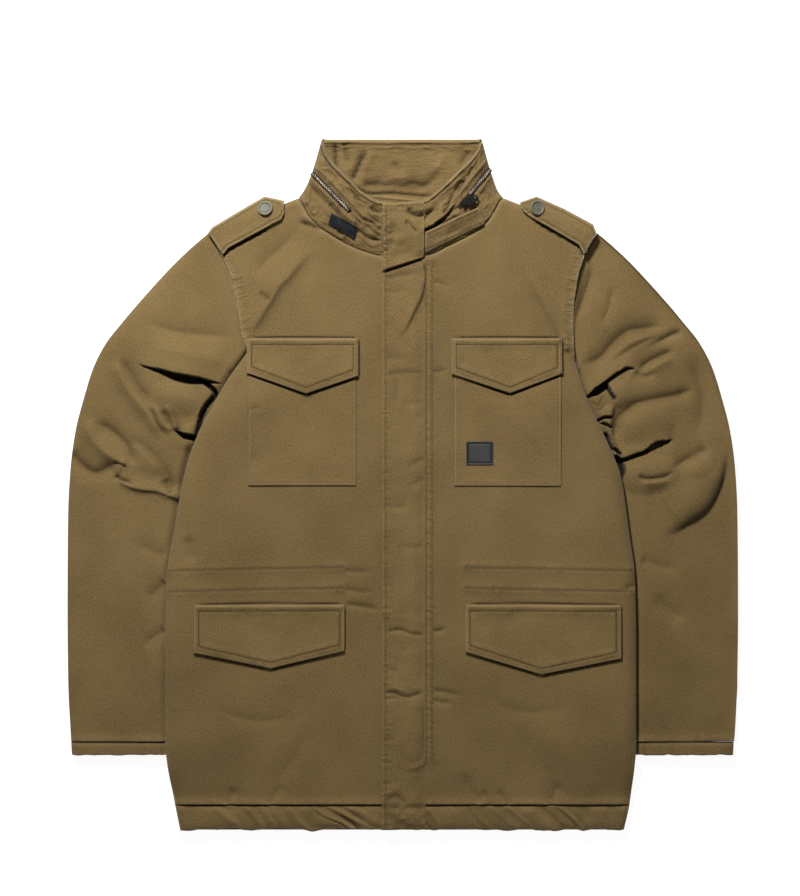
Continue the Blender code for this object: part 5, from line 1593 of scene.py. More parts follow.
def settled(objects: list[bpy.types.Object], x: Array, y: Array, stride: int) -> Array:
    """Soft height over finished pieces: read at every few places and smoothed between."""
    rows = np.unique(np.append(np.arange(0, x.shape[0], stride), x.shape[0] - 1))
    columns = np.unique(np.append(np.arange(0, x.shape[1], stride), x.shape[1] - 1))
    rough = heights_over(objects, x[np.ix_(rows, columns)], y[np.ix_(rows, columns)], 2.5)
    rough = np.where(rough < 0, np.nanmedian(rough[rough > 0]), rough)
    across = np.array([np.interp(np.arange(x.shape[1]), columns, row) for row in rough])
    return np.array([np.interp(np.arange(x.shape[0]), rows, across[:, n])
                     for n in range(x.shape[1])]).T


@dataclass
class Panel:
    """A four-sided piece that lies on others.

    Its corners are the upper left, upper right, lower left and lower right one. shape bends its
    plan, raise_by gives how far it stands off its carriers, ground its height without them,
    tone its wear and painted highlight by the distance from its edge, and rim_shade the
    painted shade along its rim.
    """

    name: str
    node: str
    corners: tuple
    pitch: float
    thick: float
    seams: list = field(default_factory=list)
    swell: float = 0.4
    crinkle: float = 0.0
    radius: float = 1.6
    gap: float = 0.4
    seed: int = 5
    rim_shade: float = 0.0
    stride: int = 4
    shape: object = None
    raise_by: object = None
    ground: object = None
    tone: object = None
    slot: str = "shell_cloth"


@dataclass
class Overlays:
    """Flaps, pockets, straps and flies, which lie on other pieces."""

    canvas: bpy.types.Material

    def lay_panel(self, panel: Panel, carriers: list[bpy.types.Object],
                  material: bpy.types.Material | None = None) -> bpy.types.Object:
        """Lay one panel.

        Args:
            panel: The panel's sizes.
            carriers: The pieces that it lies on.
            material: Its material, if it isn't canvas.

        Returns:
            The finished cloth.
        """
        a, b, c, d = (np.array(corner, float) for corner in panel.corners)
        wide = max(np.linalg.norm(b - a), np.linalg.norm(d - c))
        tall = max(np.linalg.norm(c - a), np.linalg.norm(d - b))
        s = steps(wide, panel.pitch, 0.45, 2.0, 2.0)[None] / wide
        t = steps(tall, panel.pitch, 0.45, 2.0, 2.0)[:, None] / tall
        x = (a[0] * (1 - s) + b[0] * s) * (1 - t) + (c[0] * (1 - s) + d[0] * s) * t
        y = (a[1] * (1 - s) + b[1] * s) * (1 - t) + (c[1] * (1 - s) + d[1] * s) * t
        if panel.shape:
            x, y = panel.shape(x, y, s, t)
        edge = np.minimum(np.minimum(s, 1 - s) * wide, np.minimum(t, 1 - t) * tall)
        base = panel.ground(x, y) if panel.ground else settled(carriers, x, y, panel.stride)
        noise = Unevenness(panel.seed)
        z = base + panel.gap + panel.thick
        z += roll(edge, min(panel.thick, panel.radius) * 0.8, panel.radius)
        z += panel.swell * noise.cloudy(x / 22, y / 26) * ease(edge / 6)
        z += panel.crinkle * crinkled(noise, x, y, 17) * ease(edge / 5)
        raised, shade, pucker = relief(panel.seams, x, y)
        z += raised * ease(edge / 1.2)
        if panel.raise_by:
            z += panel.raise_by(s + 0 * t, t + 0 * s)
        # Wear and painted highlight along the edge, and painted shade on the rolled rim
        worn = panel.tone(edge) if panel.tone else 0.28 * np.exp(-((edge - 1) / 1.4) ** 2)
        shade = np.maximum(shade, panel.rim_shade * (1 - ease(edge / 0.9)))
        places = np.stack([x, y, z], axis=2)
        made = Cloth(panel.name, places, Facing.UP, max(0.8, panel.thick - 0.2), worn, shade,
                     pucker, spare=0.3)
        piece = made.make(material or self.canvas)
        dress(piece, panel.node)
        lay(piece, places)
        return piece


@dataclass(frozen=True)
class FlapCut:
    """Outline of a pocket flap with a pointed lower edge."""

    x0: float
    x1: float
    top: float
    low0: float
    tip_x: float
    tip_y: float
    low1: float

    def shape(self, x: Array, y: Array, s: Array, t: Array) -> tuple[Array, Array]:
        """Bend a rectangle's plan to the flap's outline."""
        tip = (self.tip_x - self.x0) / (self.x1 - self.x0)
        low = np.where(s < tip, mix(self.low0, self.tip_y, s / tip),
                       mix(self.tip_y, self.low1, (s - tip) / (1 - tip)))
        return mix(self.x0, self.x1, s) + 0 * t, mix(self.top, low, t)

    def corners(self) -> tuple:
        """The flap's four corners."""
        return ((self.x0, self.top), (self.x1, self.top), (self.x0, self.low0),
                (self.x1, self.low1))

    def stitching(self, inset: float = 6.3) -> Array:
        """The topstitched line inside the flap's edges."""
        rise = inset * 1.25
        top = self.top - 8
        return np.array([(self.x1 - inset, top), (self.x0 + inset, top),
                         (self.x0 + inset, self.low0 + rise), (self.tip_x, self.tip_y + rise),
                         (self.x1 - inset, self.low1 + rise), (self.x1 - inset, top)])

    def own_folds(self) -> list[Fold]:
        """The doubled ridge along the flap's top, and its soft dents."""
        across = self.x1 - self.x0
        folds = [Fold(Crease.RIDGE, 2.2, 1.1, ((self.x0 + 1, self.top - 3.2),
                                               (self.x1 - 1, self.top - 3.2)), 0.01, 0.01)]
        for share, depth, lean in ((0.12, 0.5, 4), (0.5, 0.62, 9), (0.8, 0.45, -6), (0.3, 0.4, 7)):
            x = self.x0 + share * across
            y = self.top - depth * 55
            folds.append(Fold(Crease.TROUGH, 6, 0.8, ((x - lean, y + 12), (x, y), (x + lean, y - 12)),
                              0.5, 0.5))
        return folds

    def gaps(self, left: tuple, right: tuple, side: float = 2.0) -> list[Fold]:
        """The gaps round the flap, darkened with painted shade.

        Args:
            left: The gap's width, and its taper at both ends, under the half towards -x.
            right: The same under the other half.
            side: Width of the gap beside the flap's edge towards +x.

        Returns:
            The gaps, pressed into the cloth that carries the flap and darkened there with painted
            shade.
        """
        low = ((self.x0 - 1, self.low0 - 0.2), (self.tip_x, self.tip_y - 1),
               (self.x1 + 1, self.low1 - 0.2))
        edge = ((self.x1 + 0.3, self.top - 2), (self.x1 + 0.3, self.low1))
        top = ((self.x0 + 1, self.top + 1), (mix(self.x0, self.x1, 0.4), self.top + 1.6),
               (self.x1 - 1, self.top + 1))
        return [Fold(Crease.CLEFT, 3, 0, low[:2], *left[1:], mouth=left[0], depth=1.5),
                Fold(Crease.CLEFT, 3, 0, low[1:], *right[1:], mouth=right[0], depth=1.5),
                Fold(Crease.CLEFT, 3, 0, edge, 0.1, 0.01, mouth=side, depth=0.8),
                Fold(Crease.CLEFT, 3, 0, top, 0.1, 0.05, mouth=1.7, depth=0.8)]


CHEST_FLAPS = {Side.RIGHT: FlapCut(-194, -54.5, 182.6, 139, -120, 113, 135.5),
               Side.LEFT: FlapCut(60.5, 199, 182.6, 138, 134, 113.5, 138)}
LOWER_FLAPS = {Side.RIGHT: FlapCut(-259.5, -72, -149.5, -209, -164.5, -229.5, -207.5),
               Side.LEFT: FlapCut(78, 272, -149.5, -208.5, 173, -237, -216)}
# x0, x1, top, low
CHEST_POCKETS = {Side.RIGHT: (-192, -58, 181, -1.5), Side.LEFT: (64.5, 197.5, 181, -2)}
# high x, high y, low x, low y
EPAULETTES = {
    Side.RIGHT: ((-242.5, 314, -223.5, 286), (-237.5, 321, -217, 294.5), (-205, 341, -184, 312.5),
                 (-173, 360.5, -160, 325.5), (-160, 357.2, -151, 330),
                 (-147.5, 354, -147.5, 338.5)),
    Side.LEFT: ((242, 313.5, 226.4, 286), (238, 325, 220, 298.6), (201, 345.5, 185, 319),
                (168, 360.5, 158, 334.5), (157, 356, 151, 340), (146.5, 352, 147.5, 345.5)),
}
BUTTONS = {Side.RIGHT: (-170.8, 343.3), Side.LEFT: (166.6, 344.4)}
POCKET_DENTS = (
    Fold(Crease.TROUGH, 3.0, 1.0, ((-192, 93), (-183, 96), (-174, 96)), 0.05, 0.5, shade=0.25),
    Fold(Crease.TROUGH, 8, 1.0, ((-126, 96), (-118, 104), (-106, 108)), 0.3, 0.5),
    Fold(Crease.TROUGH, 9, 0.9, ((-186, 40), (-180, 30), (-170, 18)), 0.3, 0.4),
    Fold(Crease.TROUGH, 9, 0.9, ((96, 120), (120, 108), (148, 104)), 0.3, 0.4),
    Fold(Crease.TROUGH, 10, 0.8, ((150, 60), (166, 40), (172, 20)), 0.3, 0.4),
)


def joined(name: str, corners: Array, faces: Array, frames: list,
           material: bpy.types.Material, tones: Array | None = None) -> bpy.types.Object:
    """Copy one small shape to many places, as one piece.

    Args:
        name: The piece's name.
        corners: The shape's corners, in millimetres.
        faces: Its faces, as rows of corner numbers.
        frames: Each copy's place and its three unit directions, in metres.
        material: Its material.
        tones: Painted shade of the shape's corners, if it has any.

    Returns:
        The joined copies.
    """
    count = len(corners)
    places = np.vstack([corners @ (np.array(axes) * MM) + np.array(origin)
                        for origin, axes in frames])
    every = np.vstack([faces + count * n for n in range(len(frames))])
    mesh = bpy.data.meshes.new(name)
    mesh.from_pydata(places.tolist(), [], every.tolist())
    made = bpy.data.objects.new(name, mesh)
    bpy.context.scene.collection.objects.link(made)
    work = bmesh.new()
    work.from_mesh(mesh)
    bmesh.ops.recalc_face_normals(work, faces=work.faces[:])
    work.to_mesh(mesh)
    work.free()
    mesh.materials.append(material)
    mesh.shade_smooth()
    if tones is not None:
        shade = mesh.attributes.new("shade", "FLOAT", "POINT")
        shade.data.foreach_set("value", np.tile(tones, len(frames)).astype(np.float32))
    return made


def top_of(trees: list[BVHTree], place: Array) -> tuple[Vector, Vector] | None:
    """Highest point of pieces at a place in millimetres, and the normal there."""
    best = None
    start = Vector((place[0] * MM, place[1] * MM, 0.2))
    for tree in trees:
        point, normal = tree.ray_cast(start, Vector((0, 0, -1)))[:2]
        if point and (best is None or point.z > best[0].z):
            best = (point, normal)
    return best


def trees_of(objects: list[bpy.types.Object]) -> list[BVHTree]:
    """Search trees of finished pieces."""
    graph = bpy.context.evaluated_depsgraph_get()
    return [BVHTree.FromObject(obj, graph) for obj in objects]


@dataclass
class Stitching:
    """Thread stitches, laid in rows on finished pieces."""

    thread: bpy.types.Material
    pitch: float = 3.1
    length: float = 2.3
    width: float = 1.3
    height: float = 0.55

    def profile(self) -> tuple[Array, Array]:
        """One stitch's corners (along, across, up) and its faces."""
        n, w, h = self.length / 2, self.width / 2, self.height
        ring = [(0, -w, 0), (0, -w * 0.5, h), (0, w * 0.5, h), (0, w, 0)]
        corners = [(-n, 0, 0.1)] + [(-n * 0.5, *p[1:]) for p in ring]
        corners += [(n * 0.5, *p[1:]) for p in ring] + [(n, 0, 0.1)]
        faces = [(0, 1, 2), (0, 2, 3), (0, 3, 4), (0, 4, 1)]
        for k in range(4):
            a, b = 1 + k, 1 + (k + 1) % 4
            faces += [(a, a + 4, b + 4), (a, b + 4, b)]
        faces += [(9, 6, 5), (9, 7, 6), (9, 8, 7), (9, 5, 8)]
        return np.array(corners, float), np.array(faces)

    def sew(self, name: str, lines: list[Array], carriers: list[bpy.types.Object],
            dark: float = 0.0) -> bpy.types.Object:
        """Sew rows of stitches.

        Args:
            name: The thread's name.
            lines: The rows, as lines in plan.
            carriers: The pieces that they are sewn on.
            dark: Painted shade laid over the whole thread, raised to at least 0.6 at its ends, where it
                dives into its holes.

        Returns:
            The thread of all the rows, as one piece.
        """
        trees = trees_of(carriers)
        corners, faces = self.profile()
        frames = []
        for line in lines:
            line = np.asarray(line, float)
            run = np.linalg.norm(np.diff(line, axis=0), axis=1)
            length = np.concatenate([[0], run.cumsum()])
            count = max(1, int(length[-1] / self.pitch))
            for k in range(count):
                middle = (k + 0.5) * length[-1] / count
                ends = [np.array([np.interp(middle + d, length, line[:, 0]),
                                  np.interp(middle + d, length, line[:, 1])])
                        for d in (-self.length / 2, self.length / 2)]
                hits = [top_of(trees, end) for end in ends]
                if None in hits:
                    continue
                (p, n1), (q, n2) = hits
                forward = (q - p).normalized()
                up = (n1 + n2).normalized()
                side = up.cross(forward).normalized()
                frames.append(((p + q) / 2 - up * 0.05 * MM, (forward, side, up)))
        # Painted shade on each stitch: its ends, and all of it on dark rows
        tones = np.where(np.abs(corners[:, 0]) > 0.4 * self.length, max(0.6, dark), dark)
        made = joined(name, corners, faces, frames, self.thread, tones)
        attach(made, "jacket")
        LOG.info("%s: %d stitches", name, len(frames))
        return made


@dataclass
class Straps:
    """Epaulettes over the shoulders, and their buttons."""

    canvas: bpy.types.Material
    horn: bpy.types.Material

    def outline(self, side: Side) -> tuple[Array, Array]:
        """The strap's upper and lower edge, from its armhole end to its point."""
        rows = np.array(EPAULETTES[side], float)
        return rows[:, :2], rows[:, 2:]

    def stitching(self, side: Side, inset: float = 4.5) -> Array:
        """The topstitched line inside the strap's edges."""
        upper, lower = self.outline(side)
        middle = (upper + lower) / 2
        lines = []
        for edge in (upper, lower):
            away = middle - edge
            share = inset / np.maximum(np.linalg.norm(away, axis=1, keepdims=True), inset * 1.2)
            lines.append(edge + away * share)
        lines[1][-1] = lines[0][-1] = (lines[0][-1] + lines[1][-1]) / 2
        return np.vstack([lines[0][:-1], lines[1][::-1]])

    def make(self, side: Side, front: bpy.types.Object) -> bpy.types.Object:
        """Make one epaulette on its front."""
        upper, lower = self.outline(side)
        run = np.concatenate([[0], np.linalg.norm(np.diff((upper + lower) / 2, axis=0),
                                                  axis=1).cumsum()])
        s = steps(run[-1], 1.1, 0.4, 2, 2)[None]
        t = steps(1, 1.1 / 31, 0.4 / 31, 2 / 31, 2 / 31)[:, None]
        part = [np.interp(s, run, edge[:, n]) for edge in (upper, lower) for n in range(2)]
        x, y = mix(part[0], part[2], t), mix(part[1], part[3], t)
        wide = np.hypot(part[0] - part[2], part[1] - part[3])
        edge = np.minimum(np.minimum(s, run[-1] - s), np.minimum(t, 1 - t) * wide)
        past = np.maximum(0, y - BodyForm.shoulder(side, x) + 6)
        stitched, shade, pucker = relief([Seam(self.stitching(side), 0.6, 0.5, 4, 0.3)], x, y)
        z = BODY_HEIGHT + 3.4 + 2.2 * t ** 2 - 0.022 * past ** 2
        z += roll(edge, 1.6, 1.8) + stitched + 0.5 * Unevenness(29).cloudy(x / 16, y / 16)
        worn = 0.5 * np.exp(-((edge - 1.2) / 1.6) ** 2)
        places = np.stack([x, y, z], axis=2)
        strap = Cloth(f"{side.label}_epaulette_cloth", places, Facing.UP, 2.0, worn,
                      shade, pucker, spare=0.3).make(self.canvas)
        dress(strap, f"epaulette_{side.label}")
        lay(strap, places)
        return strap

    def gap(self, side: Side) -> list[Fold]:
        """The dark gap under the strap's lower edge."""
        lower = self.outline(side)[1]
        path = tuple((float(x), float(y) - 1.6) for x, y in lower[:4])
        if side is Side.LEFT:
            path = path[::-1]
        ends = (0.25, 0.06) if side is Side.LEFT else (0.06, 0.3)
        # The cleft's opening carries painted shade
        return [Fold(Crease.CLEFT, 4, 0, path, *ends, mouth=4.4, depth=2.2)]

    def button(self, side: Side, strap: bpy.types.Object) -> bpy.types.Object:
        """Turn one button: rim, dish, ring and boss, sewn on the strap."""
        rows = ((9.5, 0.9), (9.4, 2.2), (8.7, 3.0), (7.6, 3.0), (6.9, 2.1), (6.0, 1.7), (4.4, 1.6),
                (4.0, 2.1), (3.2, 2.1), (2.9, 1.6), (1.7, 1.6), (1.3, 2.1), (0.5, 2.2))
        bpy.ops.object.select_all(action="DESELECT")
        bpy.ops.mesh.primitive_circle_add(vertices=40, radius=8.6 * MM, fill_type="NGON")
        made = active(f"{side.label}_epaulette_button")
        bpy.ops.object.mode_set(mode="EDIT")
        bpy.ops.mesh.select_all(action="SELECT")
        radius, level = 8.6, 0.0
        for wide, tall in rows:
            bpy.ops.mesh.extrude_region_move(
                TRANSFORM_OT_translate={"value": (0, 0, (tall - level) * MM)})
            bpy.ops.transform.resize(value=(wide / radius, wide / radius, 1),
                                     center_override=(0, 0, tall * MM))
            radius, level = wide, tall
        bpy.ops.mesh.select_all(action="SELECT")
        bpy.ops.mesh.normals_make_consistent(inside=False)
        bpy.ops.object.mode_set(mode="OBJECT")
        trees = trees_of([strap])
        x, y = BUTTONS[side]
        ring = [top_of(trees, (x + dx, y + dy)) for dx, dy in
                ((0, 0), (7, 0), (-7, 0), (0, 7), (0, -7))]
        up = sum((hit[1] for hit in ring if hit), Vector()).normalized()
        lean = Vector((0.02, -0.02, 0)) if side is Side.RIGHT else Vector((0.22, -0.3, 0))
        up = (up + lean).normalized()
        rise = 1.0 if side is Side.RIGHT else 2.6
        made.location = Vector((x * MM, y * MM, ring[0][0].z)) + up * rise * MM
        made.rotation_euler = Vector((0, 0, 1)).rotation_difference(up).to_euler()
        only(made)
        bpy.ops.object.transform_apply(location=True, rotation=True, scale=True)
        made.data.materials.append(self.horn)
        bpy.ops.object.shade_smooth_by_angle(angle=math.radians(40))
        dress(made, f"button_{side.label}")
        return made


@dataclass
class ZipChain:
    """The hood pouch's zip where it shows: a tape with meshed teeth."""

    tape: bpy.types.Material
    teeth: bpy.types.Material
    pitch: float = 1.7

    def tooth(self) -> tuple[Array, Array]:
        """One tooth's corners (along, across, up) and its faces."""
        bpy.ops.object.select_all(action="DESELECT")
        bpy.ops.mesh.primitive_cube_add(size=1)
        made = active("tooth")
        bpy.ops.object.mode_set(mode="EDIT")
        bpy.ops.mesh.select_all(action="SELECT")
        bpy.ops.transform.resize(value=(1.05, 3.0, 1.3), center_override=(0, 0, 0))
        bpy.ops.mesh.bevel(offset=0.25, segments=1)
        bpy.ops.mesh.quads_convert_to_tris()
        bpy.ops.object.mode_set(mode="OBJECT")
        corners = np.array([tuple(v.co) for v in made.data.vertices])
        faces = np.array([tuple(p.vertices) for p in made.data.polygons])
        mesh = made.data
        bpy.data.objects.remove(made)
        bpy.data.meshes.remove(mesh)
        return corners, faces

    def make(self, side: Side, start: tuple, end: tuple, overlays: Overlays,
             carrier: bpy.types.Object, skip: tuple = (2.0, 2.0)) -> None:
        """Make one visible stretch of the zip.

        Args:
            side: The wearer's side.
            start: Where it comes out of the collar's fold.
            end: Where it goes under again.
            overlays: Lays the tape.
            carrier: The collar.
            skip: Shares of the stretch between which there are no teeth.
        """
        start, end = np.array(start, float), np.array(end, float)
        run = float(np.linalg.norm(end - start))
        along = (end - start) / run
        across = np.array([-along[1], along[0]]) * 2.7
        panel = Panel(f"{side.label}_zip_tape", f"zip_{side.label}",
                      (start + across, end + across, start - across, end - across), 1.2, 0.7,
                      swell=0.05, radius=0.4, gap=0.25, slot="zip_teeth")
        tape = overlays.lay_panel(panel, [carrier], self.tape)
        trees = trees_of([tape])
        corners, faces = self.tooth()
        frames = []
        for k in range(int(run / self.pitch)):
            share = (k + 0.5) * self.pitch / run
            if skip[0] < share < skip[1]:
                continue
            place = start + along * share * run + across / 2.7 * (0.45 if k % 2 else -0.45)
            hit = top_of(trees, place)
            if hit is None:
                continue
            point, up = hit
            forward = Vector((*along, 0)) - up * up.dot(Vector((*along, 0)))
            forward.normalize()
            frames.append((point + up * 0.4 * MM, (forward, up.cross(forward), up)))
        made = joined(f"{side.label}_zip_teeth", corners, faces, frames, self.teeth)
        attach(made, "jacket")
        LOG.info("%s: %d teeth", made.name, len(frames))


class Studio:
    """Pale floor, soft light from the upper left and a camera straight above."""

    PIXEL = 1.25 * MM
    CENTRE = (-0.0031, 0.0456)

    def floor(self) -> None:
        """A plain pale floor under the jacket."""
        bpy.ops.mesh.primitive_plane_add(size=8, location=(0, 0, -0.0005))
        floor = active("floor")
        g = Graph("pale floor")
        floor.data.materials.append(g.dress(
            Base_Color=(0.4, 0.4, 0.4, 1), Roughness=0.9, Emission_Color=(1, 1, 1, 1),
            Emission_Strength=0.9))

    def light(self, name: str, place: tuple, size: float, power: float) -> None:
        """One square soft light, aimed at the jacket."""
        bpy.ops.object.light_add(type="AREA", location=place)
        lamp = bpy.context.active_object
        lamp.name = name
        lamp.data.size = size
        lamp.data.energy = power
        aim = Vector((0, 0, 0)) - Vector(place)
        lamp.rotation_euler = aim.to_track_quat("-Z", "Y").to_euler()

    def camera(self) -> None:
        """Camera straight above, framed on the jacket."""
        distance = 3.4
        bpy.ops.object.camera_add(location=(*self.CENTRE, distance), rotation=(0, 0, 0))
        camera = bpy.context.active_object
        camera.data.sensor_width = 36
        camera.data.sensor_fit = "AUTO"
        camera.data.lens = 36 * (distance - 0.012) / (896 * self.PIXEL)
        bpy.context.scene.camera = camera

    def build(self) -> None:
        """Set the whole studio."""
        self.floor()
        self.light("key", (-0.35, 1.28, 1.3), 0.3, 42.5)
        world = bpy.data.worlds.new("studio")
        world.use_nodes = True
        world.node_tree.nodes["Background"].inputs[0].default_value = (1, 1, 1, 1)
        world.node_tree.nodes["Background"].inputs[1].default_value = 0.19
        bpy.context.scene.world = world
        bpy.context.scene.view_settings.view_transform = "Standard"
        self.camera()


def stitched_lines() -> dict[str, list[Array]]:
    """Rows of stitches on the fronts, by the seam that they hold."""
    arm = []
    for side in Side:
        ys = np.arange(309, 168, -3.0)
        for inset in (2.2, 10.0):
            arm.append(np.stack([side.value * (BodyForm.edge(side, ys) - inset), ys], axis=1))
    waist = [np.array(row, float) for y in (-107, -133) for row in (
        ((-292, y), (-74, y + 3.9)), ((78, y + 3.5), (287, y)))]
    tacks = [np.array([(x, y - 3.5), (x, y + 3.5), (x + w, y + 3.5), (x + w, y - 3.5),
                       (x, y - 3.5)], float) for y in (-103.3, -129.3) for x, w in ((-82, 8), (78, 8))]
    fly = [np.array([(x, 278), (x, -343)], float) for x in (29.4, 36.9)]
    fly += [np.array([(x - 2.5, -343), (x + 2.5, -343)], float) for x in (29.4, 36.9)]
    return {"armhole": arm, "waist": waist, "tack": tacks, "fly": fly}


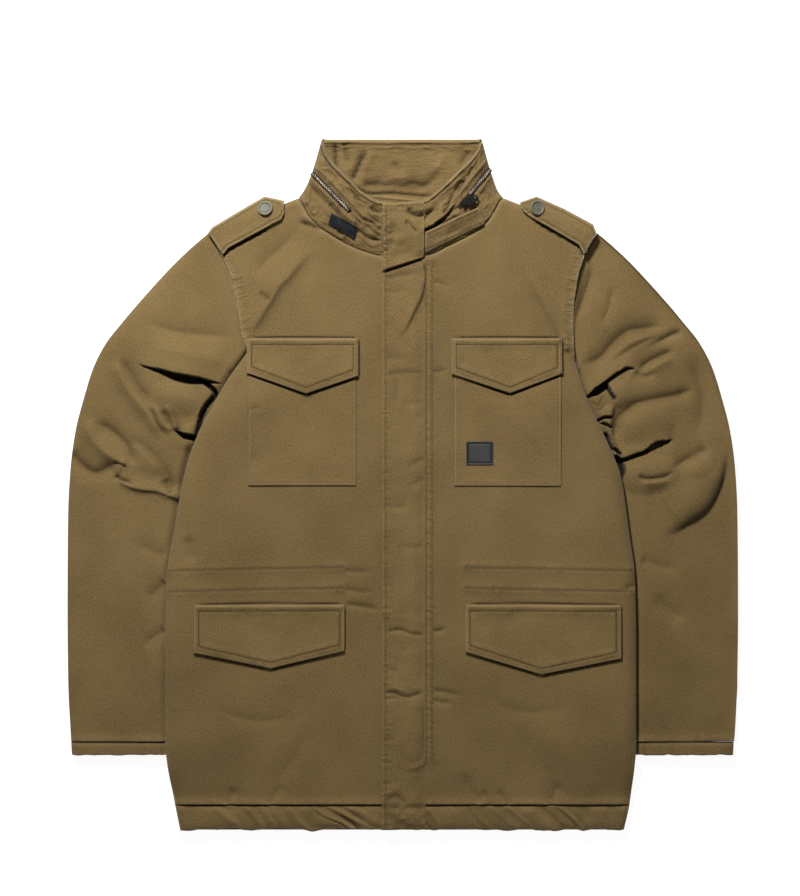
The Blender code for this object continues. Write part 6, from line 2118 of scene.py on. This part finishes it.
def main() -> None:
    """Build the jacket's looks and its studio."""
    logging.basicConfig(level=logging.INFO, format="%(message)s")
    bpy.ops.object.select_all(action="DESELECT")
    finishes = Wardrobe()
    Studio().build()
    back = Back(finishes.canvas)
    back.make_back()
    back.make_hem()
    straps = Straps(finishes.canvas, finishes.horn)
    lines = stitched_lines()
    seams = [Seam(line, 0.5, 0.7, 4.5) for line in lines["armhole"]]
    seams += [Seam(line, 0.8, 0.45, 6, 0.3) for line in lines["waist"]]
    seams += [Seam(line, 0.5, 0.4, 5, 0.3) for line in lines["fly"][:2]]
    for side in Side:
        # Gaps under the straps and flaps, pressed into the fronts with painted shade
        seams += straps.gap(side) + LOWER_FLAPS[side].gaps(
            (1.8, 0.3, 0.1), (2.6, 0.05, 0.6) if side is Side.RIGHT else (2.4, 0.05, 0.05))
        chest = CHEST_FLAPS[side]
        seams += chest.gaps((0.1, 0.3, 0.1), (0.1, 0.1, 0.1), 2.2)
    fronts = Fronts(finishes.canvas, seams=seams)
    front = {side: fronts.make(side) for side in Side}
    hem = {side: FrontHems(finishes.canvas).make(side) for side in Side}
    sleeves = Sleeves(finishes.canvas)
    for side in Side:
        sleeves.make(side)
        Cuffs(finishes.canvas).make(side)
    collar = Collar(finishes.canvas).make()
    overlays = Overlays(finishes.canvas)
    thread = Stitching(finishes.thread)
    flap_lines, pocket_lines, lying, pockets = [], [], [], {}
    for side in Side:
        x0, x1, top, low = CHEST_POCKETS[side]
        chest = CHEST_FLAPS[side]
        line = np.array([(x0 + 1.8, top), (x0 + 1.8, low + 2.6), (x1 - 2.2, low + 2.6),
                         (x1 - 2.2, top)])
        # The pocket carries the chest flap's gaps and a rim, both with painted shade
        pocket = overlays.lay_panel(Panel(
            f"{side.label}_chest_pocket_cloth", f"chest_pocket_{side.label}",
            ((x0, top), (x1, top), (x0, low), (x1, low)), 1.4, 1.6,
            seams=[Seam(line, 0.4, 0.35, 4), *POCKET_DENTS,
                   *chest.gaps((2.6, 0.1, 0.02) if side is Side.RIGHT else (4.4, 0.9, 0.02),
                               (3.6, 0.02, 0.02), 0.1)],
            seed=91, rim_shade=0.35), [front[side]])
        pocket_lines.append(line)
        pockets[side] = pocket
        for label, cut, under in (("chest", chest, [front[side], pocket]),
                                  ("lower", LOWER_FLAPS[side], [front[side]])):
            line = cut.stitching()
            # Each flap has a rim of painted shade
            flap = overlays.lay_panel(Panel(
                f"{side.label}_{label}_flap_cloth", f"{label}_flap_{side.label}", cut.corners(),
                1.4, 2.4, seams=[Seam(line, 0.9, 0.5, 5, 0.35), *cut.own_folds()],
                shape=cut.shape, raise_by=lambda s, t: 2.0 * t ** 2, seed=93, rim_shade=0.3,
                swell=0.6), under)
            flap_lines.append(line)
            lying.append(flap)
        lying.append(pocket)
    fly_line = np.array([(-21.0, 281), (-21.0, -430)])
    fly = overlays.lay_panel(Panel(
        "storm_fly_cloth", "storm_fly",
        ((FLY_RIGHT_X, 281), (FLY_LEFT_X, 281), (FLY_RIGHT_X, -431), (FLY_LEFT_X, -431)), 1.6, 3.3,
        seams=[Seam(fly_line, 0.7, 0.6, 6, 0.3), *FLY_FOLDS], swell=0.8, seed=95, crinkle=0.5,
        tone=lambda edge: 0.15 * np.exp(-(edge / 2) ** 2),
        raise_by=lambda s, t: -3.2 * ease((s - 0.72) / 0.28)), [*front.values(), *hem.values()])
    collar_line = np.array([(26.5, 348), (-20.5, 346.5), (-19.0, 275)])
    collar_fly = overlays.lay_panel(Panel(
        "collar_fly_cloth", "collar_fly", ((-25.5, 350.5), (27.2, 353), (-23.5, 267), (27.3, 284)),
        1.2, 3.0, seams=[Seam(collar_line, 0.7, 0.9, 6), *COLLAR_FLY_FOLDS], seed=97, stride=9,
        swell=1.1, crinkle=0.7, tone=lambda edge: 0.12 * np.exp(-(edge / 2) ** 2),
        raise_by=lambda s, t: (1.2 * ease((t - 0.8) / 0.2)
                               - 3.0 * ease((s - 0.78) / 0.2) * ease((0.55 - t) / 0.15))),
        [collar, fly])
    strap_edges = [np.array([(30, 310.6), (94, 340.4)]), np.array([(29, 291.8), (99, 326.2)])]
    tab = overlays.lay_panel(Panel(
        "collar_tab_cloth", "collar_tab", ((28.2, 314.5), (95, 345.6), (28.4, 288), (102.4, 324.5)),
        1.2, 2.6, seams=[*(Seam(line, 0.8, 0.5, 4, 0.3) for line in strap_edges),
                         Fold(Crease.TROUGH, 4, 1.2, ((36, 303), (58, 312), (82, 322)), 0.3, 0.3),
                         Fold(Crease.RIDGE, 1.8, 1.0, ((29, 313), (94, 343.5)), 0.02, 0.02),
                         Fold(Crease.RIDGE, 1.8, 1.0, ((29, 289.5), (101, 325)), 0.02, 0.02)],
        seed=99, stride=9, raise_by=lambda s, t: (3.0 * ease((s - 0.55) / 0.4) - 2.4) * t ** 3),
        [collar])
    strap_lines = []
    for side in Side:
        strap = straps.make(side, front[side])
        straps.button(side, strap)
        strap_lines.append(straps.stitching(side))
        lying.append(strap)
    zips = ZipChain(finishes.tape, finishes.teeth)
    beside_zips = [rounded(fold.path) for fold in WING_FOLDS[1:3] + WING_FOLDS[15:17]]
    zips.make(Side.RIGHT, (-113.5, 389), (-66.4, 341), overlays, collar)
    zips.make(Side.LEFT, (110.5, 394), (70, 345), overlays, collar, (0.66, 2.0))
    overlays.lay_panel(Panel(
        "collar_hook_patch", "hook_patch", ((-88.4, 338.2), (-55.4, 319.9), (-92.6, 324.5),
                                            (-60, 305.2)), 0.8, 1.3, swell=0.2, radius=0.8,
        seams=[], slot="hook_and_loop", tone=lambda edge: 0 * edge), [collar], finishes.hooks)
    frame_line = np.array([(82, 51.1), (110.6, 51.1), (110.6, 26.9), (82, 26.9), (82, 51.1)])
    overlays.lay_panel(Panel(
        "chest_hide_patch", "chest_patch", ((79.6, 53.5), (113, 53.5), (79.6, 24.5), (113, 24.5)),
        0.9, 1.2, swell=0.1, radius=0.8, seams=[Seam(frame_line, 0.4, 0, 2, 0.0)],
        slot="dark_leather",
        tone=lambda edge: 0.75 * ease((edge - 3.2) / 1.0) + 0.9 * (1 - ease((edge - 0.2) / 0.9))),
        [pockets[Side.LEFT]], finishes.hide)
    overlays.lay_panel(Panel(
        "zip_guard_cloth", "zip_guard", ((-36, 362), (27, 355.5), (-34, 330), (25, 328)), 1.2, 2.0,
        swell=0.5, seed=53, ground=lambda x, y: 11.2 + 0 * x, seams=[
            Seam(np.array([(-35, 358), (26, 351.5)]), 1.2, 0.5, 3, 0.5)]), [collar])
    thread.sew("armhole_thread", lines["armhole"], list(front.values()))
    thread.sew("waist_thread", lines["waist"] + lines["tack"] + lines["fly"],
               list(front.values()), 0.6)
    thread.sew("flap_thread", flap_lines, lying, 0.9)
    thread.sew("pocket_thread", pocket_lines, lying)
    thread.sew("strap_thread", strap_lines, lying, 0.6)
    thread.sew("fly_thread", [fly_line], [fly], 0.5)
    thread.sew("placket_thread", [collar_line, *strap_edges], [collar_fly, tab], 0.8)
    shape = Collar(finishes.canvas)
    edges = [np.stack(shape.wing(side, np.linspace(0.6, 8, 60), 1 - 6.6 / 85), axis=1)
             for side in Side]
    thread.sew("collar_thread", edges + beside_zips, [collar], 0.7)
    for name, material in (("zip_slider", finishes.enamel), ("pull_tab", finishes.enamel)):
        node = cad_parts[name]
        node.data.materials.clear()
        node.data.materials.append(material)


if __name__ == "__main__":
    main()
